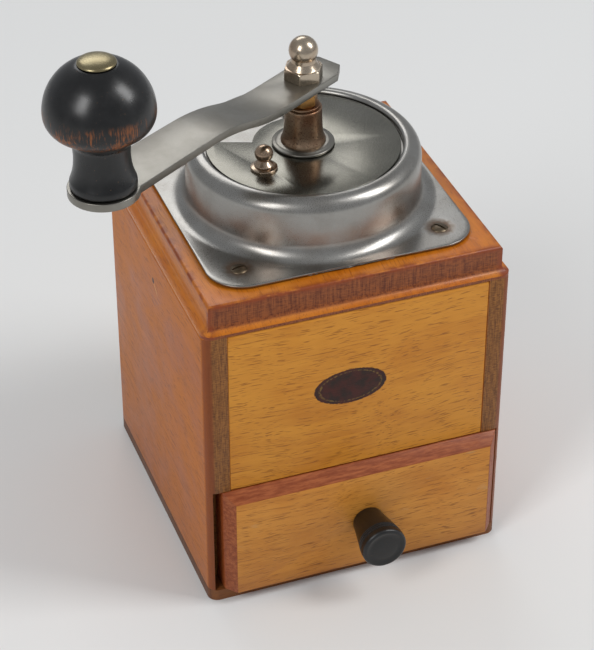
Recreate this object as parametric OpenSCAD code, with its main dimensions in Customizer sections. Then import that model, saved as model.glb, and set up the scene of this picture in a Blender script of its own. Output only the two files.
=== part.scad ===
// Wooden box coffee mill with a crank on top and a drawer in front.
// Origin at the centre of the underside, X to the right along the front, Y to the back, Z up.

/* [Case] */
// Width of the wooden case
case_w = 120; // [112:1:130]
// Depth of the wooden case
case_d = 120; // [112:1:130]
// Height from the underside to the seam under the top board
case_h = 124; // [118:1:132]
// Thickness of the side boards
side_t = 9; // [8:0.5:10]
// Thickness of the front panel
front_t = 9; // [8:0.5:11]
// Thickness of the back panel
back_t = 9; // [8:0.5:11]
// Thickness of the base board
base_t = 5; // [4:0.5:8]
// Radius of the upright corners of the case
corner_r = 4; // [2:0.5:5]
// Chamfer along the upper edges of the case boards
edge_chamfer = 0.9; // [0.4:0.1:1.5]

/* [Top board] */
// Thickness of the top board
top_t = 12; // [10:0.5:16]
// Step between the case and the upper face of the top board
top_step = 3; // [2:0.5:4]
// Thickness of the lip under the cove
top_lip_t = 1.2; // [0.8:0.1:2]
// Rounding of the upper edge
top_edge_r = 1.2; // [0.6:0.1:2]

/* [Drawer] */
// Height of the drawer front
drawer_front_h = 47.4; // [44:0.2:49]
// Thickness of the drawer front behind the case front
drawer_front_t = 8.5; // [7:0.5:10]
// How far the drawer front stands proud
drawer_proud = 4.5; // [3:0.5:6]
// Width of the bevel round the drawer front
drawer_bevel = 3.8; // [2.5:0.1:5]
// Thickness of the side boards beside the drawer front
drawer_lip_t = 2.2; // [2:0.1:3]
// Gap beside the drawer front, left and right together
drawer_front_gap = 4.1; // [3.4:0.1:5]
// Offset of the drawer front to the right
drawer_off = 1.5; // [0:0.1:1.6]
// Thickness of the drawer sides and back
drawer_side_t = 6; // [4:0.5:8]
// Height of the drawer sides
drawer_side_h = 40.5; // [34:0.5:41]
// Room behind the closed drawer
drawer_end_gap = 7.5; // [3:0.5:20]
// Thickness of the drawer bottom
drawer_bottom_t = 3; // [2:0.5:4]
// Play of the drawer in its opening
drawer_play = 0.4; // [0.3:0.1:0.8]
// Width of the rails above the drawer sides
rail_w = 6; // [4:0.5:8]
// Height of the rails above the drawer sides
rail_h = 9; // [6:0.5:12]

/* [Drawer knob] */
// Length of the drawer knob
dknob_l = 18.5; // [14:0.5:24]
// Radius at the drawer front
dknob_r_back = 6; // [5:0.1:7]
// Radius at the outer rim
dknob_r_front = 8.8; // [8:0.1:10]
// Height of its centre above the underside
dknob_z = 27; // [22:0.5:34]

/* [Cover] */
// Size of the square flange
flange_w = 102.4; // [100:0.2:106]
// Radius of the flange corners
flange_r = 14; // [10:0.5:18]
// Thickness of the cover sheet
sheet_t = 1; // [0.8:0.1:1.2]
// Outer radius of the dome
dome_r = 44.3; // [43.6:0.1:45]
// Height of the dome above the flange
dome_h = 23.6; // [22:0.2:30]
// Radius of the shoulder of the dome
shoulder_r = 5.5; // [4:0.1:6]
// Radius of the fillet at the foot of the dome
foot_r = 6; // [4:0.1:6]
// Distance of the cover screws from the centre lines
screw_at = 39.2; // [38:0.1:40]

/* [Lid] */
// Radius of the lid disc
lid_r = 36.5; // [34:0.1:37]
// Thickness of the lid disc
lid_t = 1.6; // [1.2:0.1:2]
// Angle of the filler opening
fill_angle = 70; // [50:1:80]
// Inner radius of the filler opening
fill_r_in = 19; // [16:0.5:22]
// Outer radius of the filler opening
fill_r_out = 33; // [28:0.5:33]
// Distance of the lid knob from the centre
lid_knob_at = 23; // [20:0.5:26]

/* [Crank] */
// Direction of the crank at rest, from the X axis
crank_az = 211.4; // [180:0.1:270]
// Distance from the shaft to the crank knob
crank_l = 107.5; // [90:0.5:130]
// Thickness of the crank arm
arm_t = 3; // [2.5:0.1:3.5]
// Width of the arm near the shaft
arm_w_hub = 17.4; // [15:0.1:19]
// Width of the arm near the knob
arm_w_end = 20; // [17:0.1:22]
// Radius of the round end under the knob
arm_end_r = 12.4; // [11:0.1:14]
// Rise of the arm between the shaft and the knob
arm_rise = 6.4; // [3:0.1:9]
// Length over which the arm rises
arm_bend_l = 44; // [36:0.5:52]
// Overhang of the arm behind the shaft
arm_tail = 15.5; // [12:0.5:18]

/* [Crank knob] */
// Height of the crank knob
knob_h = 46; // [42:0.5:52]
// Largest radius of the knob
knob_r = 18.9; // [17:0.1:21]
// Radius of the knob's foot
knob_foot_r = 11.5; // [10.5:0.1:12]
// Radius of the knob's waist
knob_waist_r = 9.6; // [8:0.1:10]
// Radius of the domed head on top of the knob
cap_r = 6.6; // [5.5:0.1:7.5]

/* [Shaft] */
// Radius of the drive shaft
shaft_r = 5; // [4.6:0.1:5.2]
// Outer radius of the bearing sleeve at its top
sleeve_r = 6.9; // [6.6:0.1:7.5]
// Height of the sleeve above the lid collar
sleeve_h = 14.4; // [12:0.2:18]
// Radius of the thread that carries the adjusting nut
thread_r = 4; // [3.8:0.1:4.2]
// Width of the adjusting nut across its flats
adjuster_af = 9.6; // [9.4:0.1:11]
// Height of the adjusting nut
adjuster_h = 5.5; // [4:0.1:5.8]
// Width of the acorn nut across its flats
acorn_af = 13; // [12:0.5:14]
// Radius of the acorn nut's dome
acorn_r = 5.4; // [5:0.1:6]

/* [Burrs] */
// Radius of the inner burr at its foot
burr_r = 17.5; // [16:0.1:18]
// Height of the inner burr's fine band
burr_band_h = 6; // [5:0.5:8]
// Number of fine teeth on the inner burr
fine_teeth = 24; // [16:1:30]
// Number of coarse flutes on the inner burr
coarse_flutes = 5; // [3:1:6]
// Number of fine teeth in the outer burr
ring_teeth = 30; // [18:1:36]
// Gap between the burrs at rest
burr_gap = 0.7; // [0.6:0.1:1]
// Outer radius of the outer burr
ring_r = 25; // [24:0.1:26]
// Height of the outer burr
ring_h = 24.9; // [24:0.1:27]

/* [Hidden] */
$fn = 96;
eps = 0.1;
far = 400;
beech = "#c98a3a";
beech_dark = "#a9602a";
nickel = "#a3a29a";
rusty = "#8d6a4c";
iron = "#4b4946";
black = "#1b1a19";

// Clearances: turning fit, tight fit, flat faces that slide, washer faces, screw through sheet
run_fit = 0.08;
seat_fit = 0.02;
flat_gap = 0.2;
thrust_gap = 0.05;
sheet_fit = 0.3;

// Case and drawer places
in_x = case_w / 2 - side_t;
in_front = -case_d / 2 + front_t;
in_back = case_d / 2 - back_t;
rebate_d = drawer_front_t + drawer_play;
drawer_z0 = base_t + drawer_play;
opening_top = drawer_z0 + drawer_front_h + 2 * flat_gap;
drawer_top = drawer_z0 + drawer_side_h;
dfront_w = case_w - 2 * drawer_lip_t - drawer_front_gap;
dfront_y1 = -case_d / 2 + drawer_front_t;
dfront_y0 = -case_d / 2 - drawer_proud;
dbox_x = in_x - drawer_play;
dbox_y1 = in_back - drawer_end_gap;
drawer_l = dbox_y1 - dfront_y1;
groove_d = 2.5;
groove_lift = 2;
groove_z = drawer_z0 + groove_lift;
rail_z = drawer_top + drawer_play;
screw_shank_r = 1.6;
base_screw_l = 14;
base_screw_sink = 2;
base_screw_head_r = 3;
base_screw_head_h = 1.2;
base_screw_inset = 25;
base_screw_points = [for (x = [-1, 1], y = [-1, 1])
    [x * (case_w / 2 - side_t * 0.45), y * (case_d / 2 - base_screw_inset)]];
dknob_x = drawer_off + 1.2;
dknob_screw_r = 2;

// Top board, funnel and cover places
wood_top = case_h + top_t;
tin_t = 0.8;
funnel_flange_t = 0.6;
funnel_flange_w = flange_w - 4;
flange_z0 = wood_top + funnel_flange_t;
flange_z1 = flange_z0 + sheet_t;
dome_top = flange_z1 + dome_h;
lip_roll = 1.5;
lid_play = 0.8;
lid_sink = 1.2;
dome_mouth_r = lid_r + lid_play;
flange_screw_sink = 0.6;
funnel_r = 36.5;
funnel_drop = 10.1;
funnel_cone_h = 20;
skirt_h = 10;
cone_z1 = wood_top - funnel_drop;
cone_z0 = cone_z1 - funnel_cone_h;
skirt_z = cone_z0 - skirt_h;
skirt_r = ring_r + run_fit;
top_hole_r = funnel_r + 0.5;
burr_screw_az = [30, 150, 270];
burr_screw_lift = 3.2;
burr_screw_z = skirt_z + burr_screw_lift;
burr_screw_r = 1.2;
burr_screw_l = 4.5;
burr_screw_head_r = 2.3;
burr_screw_head_h = 1.1;
cover_points = [for (x = [-screw_at, screw_at], y = [-screw_at, screw_at]) [x, y]];

// Lid, filler plate, collar and sleeve places
plate_t = 1;
lid_z1 = dome_top - lid_sink;
lid_z0 = lid_z1 - lid_t;
plate_z1 = lid_z0 - flat_gap;
plate_z0 = plate_z1 - plate_t;
collar_r = 11.7;
collar_t = 1.4;
hub_r = 7.2;
stem_r = 6.2;
collar_z0 = lid_z1 + flat_gap;
collar_z1 = collar_z0 + collar_t;
sleeve_top = collar_z1 + sleeve_h;
sleeve_foot_r = 8.5;
lid_fill_az = 124;
plate_fill_az = 36;
lid_knob_az = 211;
lid_pin_r = 1.5;
bridge_az = 120;
bridge_w = 16;
bridge_t = 2.4;
bridge_half = 44;
bridge_screw_at = 40.6;
bridge_z1 = flange_z0 + bridge_t;
bridge_nut_h = 4;
bridge_nut_af = 19;

// Shaft, crank and nut places
washer_t = 1;
washer_r = 6.2;
washer_z = sleeve_top + thrust_gap;
adjuster_z = washer_z + washer_t + thrust_gap;
adjuster_top = adjuster_z + adjuster_h;
arm_lift = 2.4;
arm_z0 = adjuster_top + arm_lift;
arm_z1 = arm_z0 + arm_t;
square_w = 5.6;
stud_r = 2.8;
acorn_hex_h = 4.5;
acorn_cone_h = 2.2;
acorn_z = arm_z1 + acorn_hex_h + acorn_cone_h + 0.8 * acorn_r;
stud_top = acorn_z;
bend_start = 18;
end_z0 = arm_z0 + arm_rise;
end_z1 = end_z0 + arm_t;
knob_z = end_z1 + flat_gap;
pin_r = 3.2;
cap_h = 2;

// Burr places
skirt_lap = 7;
ring_top = skirt_z + skirt_lap;
burr_z0 = ring_top - ring_h;
band_z = burr_z0 + burr_band_h;
band_r = burr_r - 2;
burr_cone_h = 13;
burr_neck_h = 3;
hub_top_r = 8;
burr_top = band_z + burr_cone_h + burr_neck_h;
burr_pin_r = 1.5;
pin_z = burr_top - burr_pin_r - 0.1;
low_bridge_t = 1.7;
low_bridge_w = 14;
low_bridge_drop = 10;
low_bridge_z = burr_z0 - low_bridge_drop;
low_screw_r = 1.2;
low_screw_l = 9;
low_screw_head_r = 1.9;
low_screw_head_h = 1.1;
bush_r = 8;
bush_flange_h = 4;
bush_neck_r = bush_r - 1.5;
bush_z = low_bridge_z - bush_flange_h;
shaft_end_l = 2;
shaft_bottom = bush_z - shaft_end_l;
pad_gap = 1.2;
pad_in = burr_r + pad_gap;
low_screw_at = pad_in + low_bridge_t + low_screw_head_r + flat_gap;

function arc(c, rx, ry, a0, a1, n) =
    [for (i = [0:n]) let (a = a0 + (a1 - a0) * i / n) c + [rx * cos(a), ry * sin(a)]];

module rounded_rect(w, d, r) {
    square([w - 2 * r, d], center = true);
    square([w, d - 2 * r], center = true);
    for (x = [-1, 1], y = [-1, 1])
        translate([x * (w / 2 - r), y * (d / 2 - r)]) circle(r);
}

module sector(r_in, r_out, az, angle) {
    intersection() {
        difference() {
            circle(r_out);
            circle(r_in);
        }
        rotate(az)
            polygon([[0, 0], [far, -far * tan(angle / 2)], [far, far * tan(angle / 2)]]);
    }
}

module tube(r_in, r_out, h) {
    difference() {
        cylinder(r = r_out, h = h);
        translate([0, 0, -eps]) cylinder(r = r_in, h = h + 2 * eps);
    }
}

module hexagon(af, h) {
    cylinder(r = af / 2 / cos(30), h = h, $fn = 6);
}

// A slotted wood screw, head up, with its head on z = 0
module slotted_screw(head_r, head_h, shank_r, shank_l) {
    difference() {
        rotate_extrude()
            polygon(concat([[0, -shank_l], [shank_r * 0.5, -shank_l], [shank_r, -shank_l + 2 * shank_r],
                [shank_r, 0], [head_r, 0]], arc([0, 0], head_r, head_h, 10, 90, 6)));
        translate([-head_r, -head_r * 0.13, head_h * 0.5]) cube([2 * head_r, head_r * 0.26, head_h]);
    }
}

module case_outline(h) {
    linear_extrude(h) rounded_rect(case_w, case_d, corner_r);
}

module base_board() {
    color(beech_dark)
        difference() {
            case_outline(base_t);
            for (p = base_screw_points)
                translate([p[0], p[1], -eps]) {
                    cylinder(r = screw_shank_r + seat_fit, h = base_t + 2 * eps);
                    cylinder(r = base_screw_head_r + flat_gap, h = base_screw_sink + eps);
                }
        }
}
module base_screws() {
    color(rusty)
        for (p = base_screw_points)
            translate([p[0], p[1], base_screw_sink]) mirror([0, 0, 1])
                slotted_screw(base_screw_head_r, base_screw_head_h, screw_shank_r, base_screw_l);
}

// Board on the right; the left one is its mirror image
module side_board() {
    color(beech)
        difference() {
            intersection() {
                translate([0, case_d / 2, base_t]) rotate([90, 0, 0])
                    linear_extrude(case_d)
                        polygon([[in_x, 0], [case_w / 2, 0], [case_w / 2, case_h - base_t - edge_chamfer],
                            [case_w / 2 - edge_chamfer, case_h - base_t], [in_x, case_h - base_t]]);
                case_outline(case_h);
            }
            translate([in_x - eps, -case_d / 2 - eps, base_t - eps])
                cube([side_t - drawer_lip_t + eps, rebate_d + eps, opening_top - base_t + eps]);
            for (p = base_screw_points)
                translate([p[0], p[1], base_t - eps])
                    cylinder(r = screw_shank_r + seat_fit,
                        h = base_screw_sink + base_screw_l - base_t + eps + seat_fit);
        }
}

module side_board_right() {
    side_board();
}

module side_board_left() {
    mirror([1, 0, 0]) side_board();
}

module front_panel() {
    color(beech)
        translate([in_x, 0, 0]) rotate([90, 0, -90])
            linear_extrude(2 * in_x)
                polygon([[-in_front, opening_top], [case_d / 2, opening_top],
                    [case_d / 2, case_h - edge_chamfer], [case_d / 2 - edge_chamfer, case_h],
                    [-in_front, case_h]]);
}

module back_panel() {
    color(beech)
        translate([in_x, 0, 0]) rotate([90, 0, -90])
            linear_extrude(2 * in_x)
                polygon([[-in_back, base_t], [-case_d / 2, base_t],
                    [-case_d / 2, case_h - edge_chamfer], [-case_d / 2 + edge_chamfer, case_h],
                    [-in_back, case_h]]);
}

// Cross-section of the top board: lip, cove, upright face and rounded upper edge
module top_section(w) {
    translate([-w / 2, 0]) square([w, top_lip_t]);
    difference() {
        translate([-w / 2, 0]) square([w, top_lip_t + top_step]);
        for (s = [-1, 1])
            translate([s * w / 2, top_lip_t + top_step]) circle(top_step);
    }
    translate([-w / 2 + top_step, 0]) square([w - 2 * top_step, top_t - top_edge_r]);
    translate([-w / 2 + top_step + top_edge_r, 0]) square([w - 2 * (top_step + top_edge_r), top_t]);
    for (s = [-1, 1])
        translate([s * (w / 2 - top_step - top_edge_r), top_t - top_edge_r]) circle(top_edge_r);
}

module top_board() {
    color(beech)
        translate([0, 0, case_h])
            difference() {
                intersection() {
                    rotate([90, 0, 0])
                        linear_extrude(case_d, center = true) top_section(case_w);
                    rotate([90, 0, 90])
                        linear_extrude(case_w, center = true) top_section(case_d);
                    case_outline(top_t);
                }
                translate([0, 0, -eps]) cylinder(r = top_hole_r, h = top_t + 2 * eps);
                for (p = cover_points)
                    translate([p[0], p[1], -eps])
                        cylinder(r = screw_shank_r + seat_fit, h = top_t + 2 * eps);
                rotate(bridge_az)
                    for (s = [-1, 1])
                        translate([s * bridge_screw_at, 0, -eps])
                            cylinder(r = screw_shank_r + seat_fit, h = top_t + 2 * eps);
            }
}

module drawer_rail() {
    color(beech_dark)
        translate([in_x - rail_w, in_front, rail_z])
            cube([rail_w, in_back - in_front, rail_h]);
}

module drawer_rail_right() {
    drawer_rail();
}

module drawer_rail_left() {
    mirror([1, 0, 0]) drawer_rail();
}

// Cut section of the pressed dome, from the foot fillet to the rolled mouth
module dome_section() {
    fillet = [dome_r + foot_r, flange_z1 + foot_r];
    shoulder = [dome_r - shoulder_r, dome_top - shoulder_r];
    roll = [dome_mouth_r + lip_roll, dome_top - lip_roll];
    polygon(concat(
        arc(fillet, foot_r, foot_r, 270, 180, 8),
        arc(shoulder, shoulder_r, shoulder_r, 0, 90, 10),
        arc(roll, lip_roll, lip_roll, 90, 180, 5),
        [[dome_mouth_r, plate_z1], [dome_mouth_r + sheet_t, plate_z1]],
        arc(roll, lip_roll - sheet_t, lip_roll - sheet_t, 180, 90, 5),
        arc(shoulder, shoulder_r - sheet_t, shoulder_r - sheet_t, 90, 0, 10),
        arc(fillet, foot_r + sheet_t, foot_r + sheet_t, 180, 270, 8)));
}

module hopper_cover() {
    dimple_r = 5.4;
    color(nickel) {
        rotate_extrude() dome_section();
        difference() {
            translate([0, 0, flange_z0])
                linear_extrude(sheet_t) rounded_rect(flange_w, flange_w, flange_r);
            translate([0, 0, flange_z0 - eps])
                cylinder(r = dome_r + foot_r - eps, h = sheet_t + 2 * eps);
            for (p = cover_points)
                translate([p[0], p[1], flange_z0 - eps]) {
                    cylinder(r = screw_shank_r + sheet_fit, h = sheet_t + 2 * eps);
                    translate([0, 0, eps + sheet_t - flange_screw_sink])
                        cylinder(r1 = dimple_r - 2, r2 = dimple_r, h = flange_screw_sink + eps);
                }
        }
    }
}

module cover_screws() {
    color(rusty)
        for (p = cover_points)
            translate([p[0], p[1], flange_z1 - flange_screw_sink])
                rotate(p[0] * 2 + p[1]) slotted_screw(3.3, 1.3, screw_shank_r, top_t);
}

module hopper_funnel() {
    color(nickel) {
        difference() {
            rotate_extrude()
                polygon([[funnel_r, wood_top], [funnel_r, cone_z1], [skirt_r + tin_t, cone_z0],
                    [skirt_r + tin_t, skirt_z], [skirt_r, skirt_z], [skirt_r, cone_z0 + tin_t / 2],
                    [funnel_r - tin_t, cone_z1 + tin_t / 2], [funnel_r - tin_t, flange_z0],
                    [funnel_r + 2, flange_z0], [funnel_r + 2, wood_top]]);
            for (a = burr_screw_az)
                rotate(a) translate([skirt_r - 1, 0, burr_screw_z])
                    rotate([0, 90, 0]) cylinder(r = burr_screw_r + seat_fit, h = tin_t + 2);
        }
        difference() {
            translate([0, 0, wood_top])
                linear_extrude(funnel_flange_t) rounded_rect(funnel_flange_w, funnel_flange_w, flange_r - 2);
            translate([0, 0, wood_top - eps]) cylinder(r = funnel_r + 1, h = 1);
            for (p = cover_points)
                translate([p[0], p[1], wood_top - eps]) cylinder(r = screw_shank_r + sheet_fit, h = 1);
            rotate(bridge_az)
                for (s = [-1, 1])
                    translate([s * bridge_screw_at, 0, wood_top - eps])
                        cylinder(r = screw_shank_r + sheet_fit, h = 1);
        }
    }
}

module filler_plate() {
    color(nickel)
        translate([0, 0, plate_z0])
            linear_extrude(plate_t)
                difference() {
                    circle(dome_mouth_r + 2.2);
                    circle(stem_r + seat_fit);
                    sector(fill_r_in, fill_r_out, plate_fill_az, fill_angle);
                }
}

module lid_disc() {
    color(nickel)
        difference() {
            translate([0, 0, lid_z0])
                linear_extrude(lid_t)
                    difference() {
                        circle(lid_r);
                        circle(hub_r + run_fit);
                        sector(fill_r_in, fill_r_out, lid_fill_az, fill_angle);
                    }
            rotate(lid_knob_az) translate([lid_knob_at, 0, lid_z0 - eps])
                cylinder(r = lid_pin_r + seat_fit, h = lid_t + 2 * eps);
        }
}

module lid_knob() {
    ball_r = 3.4;
    ball_z = 6.2;
    color(nickel)
        rotate(lid_knob_az) translate([lid_knob_at, 0, lid_z1])
            rotate_extrude()
                polygon(concat([[0, -lid_t], [lid_pin_r, -lid_t], [lid_pin_r, 0], [5, 0], [5, 0.7], [4.4, 1.2],
                    [3.4, 1.4], [3.4, 2.4], [2.2, 3.1], [1.9, 3.6]],
                    arc([0, ball_z], ball_r, ball_r, -55, 90, 12)));
}

module lid_collar() {
    color(nickel)
        rotate_extrude()
            polygon([[stem_r + seat_fit, plate_z1], [hub_r, plate_z1], [hub_r, collar_z0],
                [collar_r, collar_z0], [collar_r, collar_z1 - 0.7], [collar_r - 0.6, collar_z1 - 0.1],
                [collar_r - 1.4, collar_z1], [stem_r + seat_fit, collar_z1]]);
}

module bearing_sleeve() {
    sleeve_z0 = flange_z0 - bridge_nut_h - 0.6;
    color(rusty)
        rotate_extrude()
            polygon([[shaft_r + run_fit, sleeve_z0], [stem_r, sleeve_z0], [stem_r, collar_z1],
                [sleeve_foot_r, collar_z1], [sleeve_foot_r - 0.2, collar_z1 + 0.8],
                [sleeve_r + 0.7, collar_z1 + 2.6], [sleeve_r + 0.3, collar_z1 + 5],
                [sleeve_r, sleeve_top - 0.5], [sleeve_r - 0.4, sleeve_top], [shaft_r + run_fit, sleeve_top]]);
}

module upper_bridge() {
    color(nickel)
        rotate(bridge_az)
            translate([0, 0, flange_z0])
                linear_extrude(bridge_t)
                    difference() {
                        union() {
                            square([2 * bridge_half - bridge_w / 2, bridge_w], center = true);
                            circle(13);
                            for (s = [-1, 1])
                                translate([s * (bridge_half - bridge_w / 2), 0]) circle(bridge_w / 2);
                        }
                        circle(stem_r + seat_fit);
                        for (s = [-1, 1])
                            translate([s * bridge_screw_at, 0]) circle(screw_shank_r + seat_fit);
                    }
}

module bridge_screws() {
    color(rusty)
        rotate(bridge_az)
            for (s = [-1, 1])
                translate([s * bridge_screw_at, 0, bridge_z1])
                    rotate(40) slotted_screw(2.8, 1.3, screw_shank_r, top_t);
}

module bridge_nut() {
    color(nickel)
        translate([0, 0, flange_z0 - bridge_nut_h])
            difference() {
                hexagon(bridge_nut_af, bridge_nut_h);
                translate([0, 0, -eps]) cylinder(r = stem_r + seat_fit, h = bridge_nut_h + 2 * eps);
            }
}

// Bore of the outer burr: fine band below, open throat above
module ring_section() {
    polygon([[burr_r + burr_gap, burr_z0], [band_r + burr_gap, band_z], [band_r + 3.5, ring_top - 6],
        [ring_r - 0.8, ring_top], [ring_r, ring_top], [ring_r, burr_z0]]);
}

// A narrow V-groove that starts at the origin and runs along +Z
module v_groove(width, length) {
    translate([0, 0, -eps]) cylinder(r = width, h = length, $fn = 4);
}

module outer_burr() {
    groove_w = 1.1;
    feed_w = 2.6;
    band_lean = atan((burr_r - band_r) / burr_band_h);
    color(iron)
        difference() {
            rotate_extrude() ring_section();
            for (i = [0:ring_teeth - 1])
                rotate(i * 360 / ring_teeth)
                    translate([burr_r + burr_gap, 0, burr_z0 - 1])
                        rotate([-18, -band_lean, 0]) v_groove(groove_w, burr_band_h + 4);
            for (i = [0:coarse_flutes + 1])
                rotate(i * 360 / (coarse_flutes + 2))
                    translate([band_r + burr_gap, 0, band_z + 1])
                        rotate([-25, 8, 0]) v_groove(feed_w, 20);
            for (s = [-1, 1])
                translate([s * low_screw_at, 0, burr_z0 - eps])
                    cylinder(r = low_screw_r + seat_fit, h = low_screw_l - low_bridge_t + eps + seat_fit);
            for (a = burr_screw_az)
                rotate(a) translate([skirt_r + tin_t - burr_screw_l - seat_fit, 0, burr_screw_z])
                    rotate([0, 90, 0]) cylinder(r = burr_screw_r + seat_fit, h = burr_screw_l);
        }
}

module burr_screws() {
    color(rusty)
        for (a = burr_screw_az)
            rotate(a) translate([skirt_r + tin_t, 0, burr_screw_z])
                rotate([0, 90, 0]) slotted_screw(burr_screw_head_r, burr_screw_head_h, burr_screw_r, burr_screw_l);
}

module lower_bridge() {
    color(nickel)
        difference() {
            union() {
                rotate([90, 0, 0])
                    linear_extrude(low_bridge_w, center = true) {
                        translate([-pad_in - low_bridge_t, low_bridge_z])
                            square([2 * (pad_in + low_bridge_t), low_bridge_t]);
                        for (s = [0, 1])
                            mirror([s, 0]) {
                                translate([pad_in, low_bridge_z])
                                    square([low_bridge_t, burr_z0 - low_bridge_z]);
                                translate([pad_in, burr_z0 - low_bridge_t])
                                    square([ring_r - pad_in, low_bridge_t]);
                            }
                    }
            }
            translate([0, 0, low_bridge_z - eps])
                cylinder(r = bush_neck_r + seat_fit, h = low_bridge_t + 2 * eps);
            for (s = [-1, 1])
                translate([s * low_screw_at, 0, burr_z0 - low_bridge_t - eps])
                    cylinder(r = low_screw_r + seat_fit, h = low_bridge_t + 2 * eps);
        }
}

module lower_bridge_screws() {
    color(rusty)
        for (s = [-1, 1])
            translate([s * low_screw_at, 0, burr_z0 - low_bridge_t])
                mirror([0, 0, 1]) slotted_screw(low_screw_head_r, low_screw_head_h, low_screw_r, low_screw_l);
}

module bearing_bush() {
    color("#9c7b3d")
        difference() {
            union() {
                translate([0, 0, bush_z]) cylinder(r = bush_neck_r, h = bush_flange_h + low_bridge_t);
                translate([0, 0, bush_z]) cylinder(r = bush_r, h = bush_flange_h);
            }
            translate([0, 0, bush_z - eps])
                cylinder(r = shaft_r + run_fit, h = bush_flange_h + low_bridge_t + 2 * eps);
        }
}

module drive_shaft() {
    shoulder_z = sleeve_top - 1;
    color(nickel)
        difference() {
            union() {
                translate([0, 0, shaft_bottom]) cylinder(r = shaft_r, h = shoulder_z - shaft_bottom);
                translate([0, 0, shoulder_z]) cylinder(r = thread_r, h = arm_z0 - shoulder_z);
                translate([-square_w / 2, -square_w / 2, arm_z0]) cube([square_w, square_w, arm_t]);
                translate([0, 0, arm_z1]) cylinder(r = stud_r, h = stud_top - arm_z1);
            }
            translate([-hub_top_r, 0, pin_z]) rotate([0, 90, 0])
                cylinder(r = burr_pin_r + seat_fit, h = 2 * hub_top_r);
        }
}

module inner_burr() {
    groove_w = 1;
    flute_r = 5;
    band_lean = atan((burr_r - band_r) / burr_band_h);
    cone_lean = atan((band_r - hub_top_r) / burr_cone_h);
    color(iron)
        difference() {
            rotate_extrude()
                polygon([[shaft_r + seat_fit, burr_z0], [burr_r, burr_z0], [band_r, band_z],
                    [hub_top_r, band_z + burr_cone_h], [hub_top_r, burr_top],
                    [shaft_r + seat_fit, burr_top]]);
            for (i = [0:fine_teeth - 1])
                rotate(i * 360 / fine_teeth)
                    translate([burr_r, 0, burr_z0])
                        rotate([18, -band_lean, 0]) v_groove(groove_w, burr_band_h + 4);
            for (i = [0:coarse_flutes - 1])
                rotate(i * 360 / coarse_flutes)
                    translate([band_r + flute_r * 0.72, 0, band_z + 1.5])
                        rotate([28, -cone_lean, 0]) cylinder(r = flute_r, h = 30);
            translate([-burr_r, 0, pin_z]) rotate([0, 90, 0])
                cylinder(r = burr_pin_r + seat_fit, h = 2 * burr_r);
        }
}

module burr_pin() {
    pin_proud = 0.4;
    color(nickel)
        translate([-hub_top_r - pin_proud, 0, pin_z]) rotate([0, 90, 0])
            cylinder(r = burr_pin_r, h = 2 * (hub_top_r + pin_proud));
}

module thrust_washer() {
    color(rusty)
        translate([0, 0, washer_z]) tube(thread_r + run_fit, washer_r, washer_t);
}

module adjusting_nut() {
    color("#b08a4e")
        translate([0, 0, adjuster_z])
            difference() {
                intersection() {
                    hexagon(adjuster_af, adjuster_h);
                    cylinder(r1 = adjuster_af / 2 + 0.1, r2 = adjuster_af / 2 + 0.1 + adjuster_h, h = adjuster_h);
                }
                translate([0, 0, -eps]) cylinder(r = thread_r + run_fit, h = adjuster_h + 2 * eps);
            }
}

// Side view of the arm: level at the shaft, two tangent arcs, level at the knob
module arm_side() {
    turn = 2 * atan(arm_rise / arm_bend_l);
    bend_r = arm_bend_l / 2 / sin(turn);
    low = [bend_start, arm_z0 + arm_t / 2 + bend_r];
    high = [bend_start + arm_bend_l, end_z0 + arm_t / 2 - bend_r];
    in_r = bend_r - arm_t / 2;
    out_r = bend_r + arm_t / 2;
    polygon(concat(
        [[-arm_tail, arm_z0]],
        arc(low, out_r, out_r, -90, -90 + turn, 10),
        arc(high, in_r, in_r, 90 + turn, 90, 10),
        [[crank_l + arm_end_r, end_z0], [crank_l + arm_end_r, end_z1]],
        arc(high, out_r, out_r, 90, 90 + turn, 10),
        arc(low, in_r, in_r, -90 + turn, -90, 10),
        [[-arm_tail, arm_z1]]));
}

// Plan view of the arm's bar, along +X
module arm_plan() {
    tip_w = 10;
    tip_l = 6;
    bar_l = crank_l - arm_end_r / 4;
    polygon([[-arm_tail, -tip_w / 2], [-arm_tail, tip_w / 2], [-arm_tail + tip_l, arm_w_hub / 2],
        [bend_start, arm_w_hub / 2], [bar_l, arm_w_end / 2], [bar_l, -arm_w_end / 2],
        [bend_start, -arm_w_hub / 2], [-arm_tail + tip_l, -arm_w_hub / 2]]);
}

module crank_arm() {
    color(nickel)
        rotate(crank_az)
            difference() {
                union() {
                    intersection() {
                        rotate([90, 0, 0]) linear_extrude(4 * arm_end_r, center = true) arm_side();
                        translate([0, 0, arm_z0 - eps]) linear_extrude(arm_rise + arm_t + 2 * eps) arm_plan();
                    }
                    translate([crank_l, 0, end_z0]) cylinder(r = arm_end_r, h = arm_t);
                }
                rotate(-crank_az)
                    translate([-square_w / 2 - seat_fit, -square_w / 2 - seat_fit, arm_z0 - eps])
                        cube([square_w + 2 * seat_fit, square_w + 2 * seat_fit, arm_t + 2 * eps]);
                translate([crank_l, 0, end_z0 - eps])
                    cylinder(r = pin_r + seat_fit, h = arm_t + 2 * eps);
            }
}

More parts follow.
